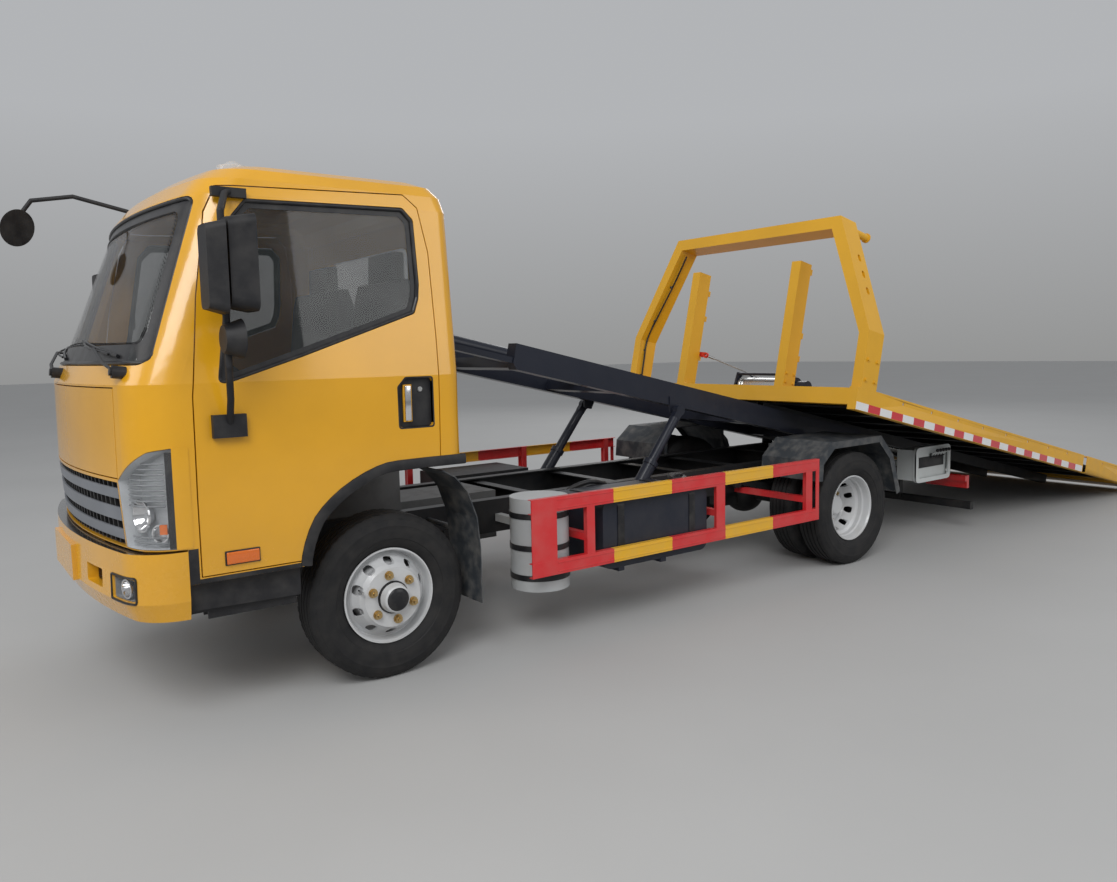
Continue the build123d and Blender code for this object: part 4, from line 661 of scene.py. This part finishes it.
windowLoop, glassLoop = roundLoop(windowCorners, 0.022, 4, 8), roundLoop(windowInner, 0.030, 4, 8)
bezelLoop, pocketLoop = roundLoop(handle["bezel"], 0.016, 4, 2), roundLoop(handle["pocket"], 0.012, 4, 2)
for side, s in (("left", 1), ("right", -1)):
    door, glass = "door_" + side, "door_glass_" + side
    bm = bmesh.new()
    addBand(bm, windowLoop, glassLoop, lambda p: onSide(glass, s, p.x, p.y, 0.0015))
    addTube(bm, [onSide(glass, s, p.x, p.y, 0.005) for p in windowLoop], 0.0085, 8, True, 0.9)
    finishPiece(bm, "windowSeal_" + side, "blackSmooth", door)
    bm = bmesh.new()
    addBand(bm, bezelLoop, pocketLoop, lambda p: onSide(door, s, p.x, p.y, 0.0005), 0.003, 2)
    rings = [[bm.verts.new(at(p.x, s * y, p.y)) for p in pocketLoop]
             for y in (handle["floor"], handle["rim"])]
    bm.faces.new(rings[0])
    loft(bm, rings)
    finishPiece(bm, "handlePocket_" + side, "blackGrain", door)
    bm = bmesh.new()
    addSideBox(bm, s, *handle["lever"], bevel=0.004, segments=3)
    finishPiece(bm, "handleLever_" + side, "chrome", door)
    bm = bmesh.new()
    x, z = handle["lock"]
    for start, end, radius in handle["lockRings"]:
        addRod(bm, at(x, s * start, z), at(x, s * end, z), radius, 24)
    addSideBox(bm, s, *handle["keyhole"])
    finishPiece(bm, "doorLock_" + side, "steel", door)
    bm = bmesh.new()
    addSideBox(bm, s, *marker["base"], bevel=0.0025)
    finishPiece(bm, "markerBase_" + side, "blackSmooth", door)
    bm = bmesh.new()
    addSideBox(bm, s, *marker["lens"], bevel=0.0035, segments=3)
    for i in range(marker["flutes"]):
        x = marker["first"] + i * marker["pitch"]
        addSideBox(bm, s, (x, x + marker["width"]), marker["ys"], marker["zs"])
    finishPiece(bm, "markerLens_" + side, "amber", door)
    bm = bmesh.new()
    addFlare(bm, s)
    finishPiece(bm, "archFlare_" + side, "blackGrain", "cab", 45)
print("doors dressed")

# Wipers: pivot, elbow and both ends of the blade, as places across the front
wipers = {"left": ((0.800, 1.405), (0.500, 1.500), (0.700, 1.468), (0.170, 1.534)),
          "right": ((-0.100, 1.398), (-0.400, 1.495), (-0.140, 1.462), (-0.720, 1.520))}
bladeBridge = ((0.15, 0.018), (0.32, 0.030), (0.5, 0.036), (0.68, 0.030), (0.85, 0.018))
bladePosts = ((0.15, 0.012), (0.85, 0.012), (0.5, 0.028))


def addWiper(bm, root, elbow, start, end):
    def onBlade(share, lift):
        return onScreen(Vector(start).lerp(Vector(end), share), lift)

    base = onFront("cab_shell", *root)
    addRod(bm, base - Vector((0.01, 0, 0)), base + Vector((0.038, 0, 0.006)), 0.024, 20)
    addRod(bm, base + Vector((0.030, 0, 0.006)), base + Vector((0.046, 0, 0.008)), 0.016, 16)
    foot = base + Vector((0.034, 0, 0.012))
    middle = onScreen(Vector(elbow), 0.042)
    addTube(bm, [foot, foot.lerp(middle, 0.35) + Vector((0.012, 0, 0)), middle], 0.0075, 8, False, 0.6)
    addTube(bm, [onBlade(k / 12, 0.010) for k in range(13)], 0.0065, 6, False, 1.3)
    addTube(bm, [onBlade(share, lift) for share, lift in bladeBridge], 0.005, 6)
    for share, height in bladePosts:
        spot = onBlade(share, 0.010)
        addRod(bm, spot, spot + Vector((height, 0, 0)), 0.005, 8)


for side, spots in wipers.items():
    bm = bmesh.new()
    addWiper(bm, *spots)
    finishPiece(bm, "wiper_" + side, "blackSmooth", "cab")
print("wipers made")

# Headlamps: housing, bowls, ribs, strip, indicator and yellow cheek; then fog lamps and black strips of
# painted shade in the gaps on the cab side
lampForm = {"turn": (-0.8, 91), "low": 0.744, "steps": 28, "rows": 12, "middle": (0.8589, 0.755),
            "rear": 0.853, "depth": 0.075, "sweep": 0.190, "roofBend": 0.900,
            "roof": ((0.750, 1.000, 0.747), (0.900, 1.112, 0.300))}
lampRibs = {"high": (0.925, 0.945, 0.965, 0.985, 1.005, 1.025, 1.045, 1.065), "low": (0.765, 0.785, 0.905),
            "turn": (4, 66), "lean": 0.99, "leanRate": 420}
lampBars = (("lampStrip_", "blackSmooth", "dark_plastic", (0.746, 1.108, 12),
             ((69, 0.0045), (73, 0.0045), (77, 0.0045), (77, 0.016), (69, 0.016))),
            ("lampAmber_", "amber", "lamp_lens", (0.800, 0.836, 3),
             ((58, 0.012), (67, 0.012), (67, 0.026), (58, 0.026))))
lampCheek = {"turns": (76.5, 79.5, 82.5, 85.5, 88, 89.9, 92.5), "last": 89.9, "low": 0.7425, "rows": 8,
             "lift": 0.0006, "run": 0.0055, "skinLow": 0.747, "skinTop": 0.004}
fog = {"spot": (0.783, 0.591), "behind": 0.050, "radius": 0.032,
       "mouth": ((0.7055, 0.5495), (0.8605, 0.6325)),
       "rim": ((0.698, 0.542), (0.868, 0.640)), "tray": (-0.001, -0.054)}
# Black strips on the cab side: painted shade in the gaps between the bumper's rear end and the step panel
gapShadeStrip = (((0.829, 0.865), 0.6003, 0.737), ((0.432, 0.8285), 0.6003, 0.618))
bowlProfile = ((0.040, 1, 0.007), (0.046, 1, 0.006), (0.046, 1, 0), (0.040, 0.94, 0), (0.016, 0.74, 0),
               (0.002, 0.45, 0), (-0.002, 0, 0))


def lampTop(degrees):
    y = lampForm["middle"][1] + lampForm["sweep"] * sin(radians(degrees))
    start, height, rise = lampForm["roof"][0 if y < lampForm["roofBend"] else 1]
    return height + (y - start) * rise


def lampPoint(s, degrees, z, depth):
    a = radians(degrees)
    ray = Vector((cos(a), s * sin(a), 0))
    start = at(lampForm["middle"][0], s * lampForm["middle"][1], z) + ray
    return onSkin("front_lamps", start, -ray) - ray * depth


def gridFaces(bm, columns, rows):
    return [bm.faces.new((a[k], b[k], b[k + 1], a[k + 1])) for a, b in zip(columns, columns[1:])
            for k in range(rows)]


def lampShell(bm, s):
    first, last = lampForm["turn"]
    rows, rear = lampForm["rows"], at(lampForm["rear"], 0, 0).x
    front, back = [], []
    for i in range(lampForm["steps"] + 1):
        degrees = first + (last - first) * i / lampForm["steps"]
        top = lampTop(degrees) - 0.003
        points = [lampPoint(s, degrees, lampForm["low"] + (top - lampForm["low"]) * k / rows, 0.004)
                  for k in range(rows + 1)]
        front.append([bm.verts.new(p) for p in points])
        back.append([bm.verts.new((max(rear, p.x - lampForm["depth"]), p.y, p.z)) for p in points])
    gridFaces(bm, back, rows)
    loft(bm, [[c[0] for c in grid] + grid[-1][1:] + [c[-1] for c in reversed(grid[:-1])]
              + list(reversed(grid[0][1:-1])) for grid in (front, back)])
    bmesh.ops.delete(bm, geom=[v for v in bm.verts if not v.link_faces], context="VERTS")


def addRibs(bm, s):
    first, last = lampRibs["turn"]
    for z in lampRibs["high"]:
        start = first + max(0, z - lampRibs["lean"]) * lampRibs["leanRate"]
        points = [lampPoint(s, start + (last - start) * k / 10, z, 0.030) for k in range(11)]
        addTube(bm, points, 0.0045, 6, False, 0.7)
    for z in lampRibs["low"]:
        points = [lampPoint(s, first + (last - first) * k / 10, z, 0.026) for k in range(11)]
        addTube(bm, points, 0.004, 6)


def addTray(bm, s):
    mouth = roundLoop(rectangle(*fog["mouth"], s), 0.008, 4, 6)
    rings = [[bm.verts.new(onFront("front_lamps", p.x, p.y, lift)) for p in mouth] for lift in fog["tray"]]
    thicken(bm, [bm.faces.new(rings[1])] + loft(bm, rings), 0.001)


def addCheek(bm, s):
    columns = []
    for degrees in lampCheek["turns"]:
        turn = min(degrees, lampCheek["last"])
        top = lampTop(turn) + 0.0005
        column = []
        for k in range(lampCheek["rows"] + 1):
            z = lampCheek["low"] + (top - lampCheek["low"]) * k / lampCheek["rows"]
            onLamp = min(max(z, lampCheek["skinLow"]), top - lampCheek["skinTop"])
            spot = lampPoint(s, turn, onLamp, -lampCheek["lift"])
            spot.x -= lampCheek["run"] * (degrees - turn)
            spot.z = z
            column.append(bm.verts.new(spot))
        columns.append(column)
    thicken(bm, gridFaces(bm, columns, lampCheek["rows"]), 0.002)


for side, s in (("left", 1), ("right", -1)):
    bm = bmesh.new()
    lampShell(bm, s)
    finishPiece(bm, "lampHousing_" + side, "lampBowl", "cab", 40)
    fogSpot = onFront("front_lamps", s * fog["spot"][0], fog["spot"][1], -fog["behind"])
    bowls = [(at(0.954, s * 0.806, 0.866), (1, 0.28 * s, 0), 0.058),
             (at(0.912, s * 0.852, 0.800), (1, 0.9 * s, 0), 0.030),
             (fogSpot, (1, 0.30 * s, 0), fog["radius"])]
    bowls = [(centre, Vector(axis).normalized(), radius) for centre, axis, radius in bowls]
    bm = bmesh.new()
    for centre, axis, radius in bowls:
        addSpin(bm, [(along, radius * share + edge) for along, share, edge in bowlProfile], centre, axis, 40)
    finishPiece(bm, "lampBowls_" + side, "chrome", "cab", 40)
    bm = bmesh.new()
    for centre, axis, radius in bowls:
        addRod(bm, centre + axis * 0.004, centre + axis * 0.026, radius * 0.2, 20, None, radius * 0.14)
    finishPiece(bm, "lampBulbs_" + side, "lens", "cab", 40)
    bm = bmesh.new()
    addRibs(bm, s)
    addTray(bm, s)
    finishPiece(bm, "lampRibs_" + side, "lampDark", "cab", 40)
    for name, key, slot, (low, high, steps), outline in lampBars:
        bm = bmesh.new()
        loft(bm, [[bm.verts.new(lampPoint(s, degrees, low + k * (high - low) / steps, depth))
                   for degrees, depth in outline] for k in range(steps + 1)])
        finishPiece(bm, name + side, key, "cab", 40)
    bm = bmesh.new()
    addCheek(bm, s)
    finishPiece(bm, "lampCheek_" + side, "cab", "cab", 40)
    bm = bmesh.new()
    rim = roundLoop(rectangle(*fog["rim"], s), 0.010, 4, 6)
    addTube(bm, [onFront("bumper", p.x, p.y, 0.001) for p in rim], 0.005, 6, True)
    finishPiece(bm, "fogFrame_" + side, "blackSmooth", "cab")
    bm = bmesh.new()
    # Painted shade: thin black strips laid on the cab skin over the gaps by the bumper
    for xs, low, high in gapShadeStrip:
        columns = [[bm.verts.new(onSide("cab_shell", s, x, low + (high - low) * k / 4, 0.001))
                    for k in range(5)] for x in xs]
        thicken(bm, gridFaces(bm, columns, 4), 0.001)
    finishPiece(bm, "gapShadeStrip_" + side, "blackSmooth", "cab")
print("lamps dressed")

# Mirror glass
mirror = {"x": 0.6195, "y": 1.084, "half": 0.084, "heights": (1.629, 1.963),
          "round": ((0.6672, 0.6684), 1.522, 0.066)}
for side, s in (("left", 1), ("right", -1)):
    bm = bmesh.new()
    low, high = mirror["heights"]
    ys = [s * mirror["y"] + edge for edge in (-mirror["half"], mirror["half"])]
    loop = roundLoop(rectangle((ys[0], low), (ys[1], high)), 0.028, 6, 2)
    face = bm.faces.new([bm.verts.new(at(mirror["x"], p.x, p.y)) for p in loop])
    bmesh.ops.solidify(bm, geom=[face], thickness=0.001)
    xs, z, radius = mirror["round"]
    addRod(bm, at(xs[0], s * mirror["y"], z), at(xs[1], s * mirror["y"], z), radius, 40)
    finishPiece(bm, "mirrorGlass_" + side, "mirror", "cab")
print("cab finished")


# Smooth runs for wires and hoses, and bolts
def smoothRun(points, steps):
    points = [Vector(p) for p in points]
    padded = [points[0] * 2 - points[1]] + points + [points[-1] * 2 - points[-2]]
    run = []
    for i in range(1, len(padded) - 2):
        a, b, c, d = padded[i - 1:i + 3]
        for k in range(steps):
            t = k / steps
            run.append(((b * 2) + (c - a) * t + (a * 2 - b * 5 + c * 4 - d) * t ** 2
                        + (b * 3 - a - c * 3 + d) * t ** 3) / 2)
    return run + [points[-1]]


def addHexBolt(bm, spot, axis, size, place):
    spot, axis = Vector(spot), Vector(axis).normalized()
    addRod(bm, spot - axis * 0.001, spot + axis * 0.002, size * 1.5, 20, place)
    addRod(bm, spot + axis * 0.002, spot + axis * (0.002 + size * 0.75), size, 6, place, size * 0.94)


# The side rails end before the tail section, as on the real bed
railGap = (-3.428, -3.356)
bm = bmesh.new()
bm.from_mesh(nodes["deck_frame"].data)
bmesh.ops.transform(bm, matrix=deck.inverted(), verts=bm.verts)
bmesh.ops.remove_doubles(bm, verts=bm.verts, dist=2e-5)
for x in railGap:
    bmesh.ops.bisect_plane(bm, geom=list(bm.verts) + list(bm.edges) + list(bm.faces), dist=1e-6,
                           plane_co=(x, 0, 0), plane_no=(1, 0, 0))
cut = [f for f in bm.faces if railGap[0] < f.calc_center_median().x < railGap[1]]
bmesh.ops.delete(bm, geom=cut, context="FACES")
bmesh.ops.holes_fill(bm, edges=[e for e in bm.edges if e.is_boundary], sides=0)
bmesh.ops.transform(bm, matrix=deck, verts=bm.verts)
finishPiece(bm, "sideRails", "bed", "bed", 30, ("deck_frame",))

# Reflecting tape on the rails, wiring clipped to a rack leg, bolts
tape = {"first": 0.006, "pitch": 0.1335, "gap": 0.0006, "count": 25, "ys": (1.1052, 1.1064),
        "zs": (0.003, 0.052)}
legSpots = ((-0.115, -1.030, 0.155), (-0.115, -1.030, 0.500), (-0.115, -0.712, 1.180))
wiring = {"radius": 0.007, "clips": (2, 9, 16, 23), "clipRadius": 0.013, "off": 0.012}
rackBolts = (((-0.165, -0.065), 1.1052, (0.200, 0.330), 0.011),
             ((-0.104, -0.024), 0.5132, (0.170, 0.232), 0.009))
for side, s in (("left", 1), ("right", -1)):
    for name, odd in (("White", 0), ("Red", 1)):
        bm = bmesh.new()
        for i in range(odd, tape["count"], 2):
            start = tape["first"] + i * tape["pitch"]
            addSideBox(bm, s, (-start - tape["pitch"] + tape["gap"], -start), tape["ys"], tape["zs"], deck)
        finishPiece(bm, "tape" + name + "_" + side, "tape" + name, "bed")
bm = bmesh.new()
foot, bend, top = (Vector(p) for p in legSpots)
route = ((foot, 0.030, 0), ((foot + bend) / 2, 0.034, 0), (bend, 0.028, 0.02),
         (bend.lerp(top, 0.35), 0.034, 0), (bend.lerp(top, 0.7), 0.026, 0), (top, 0.030, 0))
wire = smoothRun([spot + Vector((ahead, wiring["off"], rise)) for spot, ahead, rise in route], 6)
addTube(bm, [deck @ p for p in wire], wiring["radius"], 8)
for k in wiring["clips"]:
    addRod(bm, *(wire[k] + Vector((0, -0.014, dz)) for dz in (-0.006, 0.006)), wiring["clipRadius"], 12, deck)
finishPiece(bm, "rackWiring", "blackSmooth", "bed")
bm = bmesh.new()
for s in (1, -1):
    for xs, y, zs, size in rackBolts:
        for x in xs:
            for z in zs:
                addHexBolt(bm, (x, s * y, z), (0, s, 0), size, deck)
finishPiece(bm, "rackBolts", "bed", "bed")
print("bed dressed")

# Side guard beads, reagent tank bands, tank straps and cap
bead = {"xs": (-2.840, -0.820), "ys": (0.9995, 1.0022), "rails": ((0.364, 0.436), (0.676, 0.748)),
        "inset": 0.014, "half": 0.0035}
reagent = {"centre": (-0.860, 0.790, 0), "heights": (0.330, 0.480, 0.640), "half": 0.014,
           "radii": (0.1500, 0.1535)}
strap = {"xs": (-1.260, -1.780), "half": 0.022, "box": ((0.518, 0.318), (0.962, 0.682)), "thick": 0.003}
tankCap = {"spot": (-1.700, 0.9255, 0.722), "up": (0, 0.297, 0.955),
           "profile": ((0.0, 0.0), (0.0, 0.050), (0.012, 0.054), (0.026, 0.054), (0.034, 0.050),
                       (0.036, 0.0)),
           "grip": (((-0.040, 0.030), (-0.020, 0.044), 0.006), ((-0.022, 0.044), (0.022, 0.044), 0.007),
                    ((0.020, 0.044), (0.040, 0.030), 0.006))}
bm = bmesh.new()
for s in (1, -1):
    for low, high in bead["rails"]:
        for z in (low + bead["inset"], high - bead["inset"]):
            addSideBox(bm, s, bead["xs"], bead["ys"], (z - bead["half"], z + bead["half"]), truck, 0.001, 1)
finishPiece(bm, "guardBeads", "guard", "root")
bm = bmesh.new()
for z in reagent["heights"]:
    low, high = z - reagent["half"], z + reagent["half"]
    inside, outside = reagent["radii"]
    addSpin(bm, [(low, inside), (low, outside), (high, outside), (high, inside)], at(*reagent["centre"]),
            (0, 0, 1), 48)
finishPiece(bm, "reagentBands", "blackSmooth", "root")
bm = bmesh.new()
strapLoop = roundLoop(rectangle(*strap["box"]), 0.052, 6, 3)
for x in strap["xs"]:
    rings = [[bm.verts.new(at(x + dx, p.x, p.y)) for p in strapLoop]
             for dx in (-strap["half"], strap["half"])]
    thicken(bm, loft(bm, rings), -strap["thick"])
finishPiece(bm, "tankStraps", "blackSmooth", "root")
bm = bmesh.new()
filler, up = at(*tankCap["spot"]), Vector(tankCap["up"])
addSpin(bm, tankCap["profile"], filler, up, 32)
for start, end, radius in tankCap["grip"]:
    addRod(bm, *(filler + up * height + Vector((x, 0, 0)) for x, height in (start, end)), radius, 8)
finishPiece(bm, "tankCap", "blackSmooth", "root")

# Control box face with levers, and the hoses on the chassis
control = {"rim": ((-4.760, 0.415), (-4.285, 0.680)), "hole": ((-4.728, 0.447), (-4.317, 0.648)),
           "face": 0.806, "back": 0.782, "slot": ((-4.700, -4.345), (0.7805, 0.7845), (0.520, 0.600)),
           "levers": 5, "first": -4.680, "pitch": 0.040, "knob": (0.838, 0.6465, 0.0135),
           "boot": (0.785, 0.605), "bootProfile": ((0.0, 0.019), (0.006, 0.017), (0.012, 0.010))}
hoses = {"drops": (0.0, 0.034, 0.068), "radius": 0.0135, "ferrule": 0.017}
bm = bmesh.new()
boxRim = roundLoop(rectangle(*control["rim"]), 0.045, 6, 4)
boxHole = roundLoop(rectangle(*control["hole"]), 0.030, 6, 4)
addBand(bm, boxRim, boxHole, lambda p: at(p.x, control["face"], p.y), 0.012, 1)
loft(bm, [[bm.verts.new(at(p.x, y, p.y)) for p in boxRim] for y in (control["back"], control["face"])])
finishPiece(bm, "controlFrame", "greyBox", "root")
bm = bmesh.new()
addBox(bm, *control["slot"], truck, 0.001)
for i in range(control["levers"]):
    x = control["first"] + control["pitch"] * i
    y, z, radius = control["knob"]
    ball = bmesh.ops.create_uvsphere(bm, u_segments=12, v_segments=8, radius=radius)["verts"]
    bmesh.ops.translate(bm, vec=at(x, y, z), verts=ball)
    addSpin(bm, control["bootProfile"], at(x, *control["boot"]), (0, 1, 0), 14)
finishPiece(bm, "controlLevers", "blackSmooth", "root")
bm = bmesh.new()
for drop in hoses["drops"]:
    hose = smoothRun([(-1.640 + drop, 0.407, 0.590), (-1.625 + drop, 0.440, 0.622),
                      (-1.560 + drop, 0.470, 0.672 - drop * 0.5), (-1.440, 0.482, 0.700 - drop * 0.6),
                      (-1.320 - drop, 0.476, 0.680 - drop * 0.6), (-1.235 - drop, 0.448, 0.622),
                      (-1.215 - drop, 0.407, 0.575)], 7)
    addTube(bm, [truck @ p for p in hose], hoses["radius"], 10)
    for end in (hose[0], hose[-1]):
        addRod(bm, end + Vector((0, -0.003, 0)), end + Vector((0, 0.012, 0.004)), hoses["ferrule"], 6, truck)
finishPiece(bm, "chassisHoses", "blackSmooth", "root", 50)
print("chassis dressed")

# Floor, backdrop and studio light
stage = {"size": 60, "drop": 0.0005, "floor": ((0.40, 0.40, 0.395), (0.46, 0.46, 0.455)), "aim": (0, 0, 0.8),
         "skyPower": 0.52, "sky": ((0.46, (0.50, 0.50, 0.49, 1)), (0.62, (0.86, 0.88, 0.91, 1))),
         "lamps": (("key", (9.0, 7.5, 9.0), 6.0, 820), ("fill", (-4.0, 11.0, 6.5), 7.0, 300),
                   ("front", (12.0, -1.0, 5.0), 5.0, 200), ("back", (-9.0, -9.0, 8.0), 6.0, 260))}


def makeFloor():
    bm = bmesh.new()
    bmesh.ops.create_grid(bm, x_segments=1, y_segments=1, size=stage["size"])
    mesh = bpy.data.meshes.new("floor")
    bm.to_mesh(mesh)
    bm.free()
    floor = addObject("floor", mesh)
    floor.location.z = -stage["drop"]
    p = Paint("floorPaint")
    stain = p.noise(0.6, 6)
    p.set(colour=p.mix(stain, *stage["floor"]), rough=0.75 + stain * 0.1)
    mesh.materials.append(p.material)


def makeStage():
    makeFloor()
    for name, spot, size, power in stage["lamps"]:
        data = bpy.data.lights.new(name, "AREA")
        data.size = size
        data.energy = power
        lamp = addObject(name, data)
        lamp.location = spot
        lamp.rotation_euler = (Vector(stage["aim"]) - Vector(spot)).to_track_quat("-Z", "Y").to_euler()
    world = bpy.data.worlds.new("studio")
    bpy.context.scene.world = world
    world.use_nodes = True
    tree = world.node_tree
    sky = tree.nodes["Background"]
    sky.inputs["Strength"].default_value = stage["skyPower"]
    spot = tree.nodes.new("ShaderNodeTexCoord")
    split = tree.nodes.new("ShaderNodeSeparateXYZ")
    ramp = tree.nodes.new("ShaderNodeValToRGB")
    for element, (position, colour) in zip(ramp.color_ramp.elements, stage["sky"]):
        element.position = position
        element.color = colour
    half = tree.nodes.new("ShaderNodeMath")
    half.operation = "MULTIPLY_ADD"
    half.inputs[1].default_value = 0.5
    half.inputs[2].default_value = 0.5
    tree.links.new(spot.outputs["Generated"], split.inputs[0])
    tree.links.new(split.outputs["Z"], half.inputs[0])
    tree.links.new(half.outputs[0], ramp.inputs[0])
    tree.links.new(ramp.outputs[0], sky.inputs["Color"])


makeStage()
scene = bpy.context.scene
scene.view_settings.view_transform = "Standard"
scene.view_settings.look = "None"
scene.view_settings.exposure = 0.0
print("stage set")
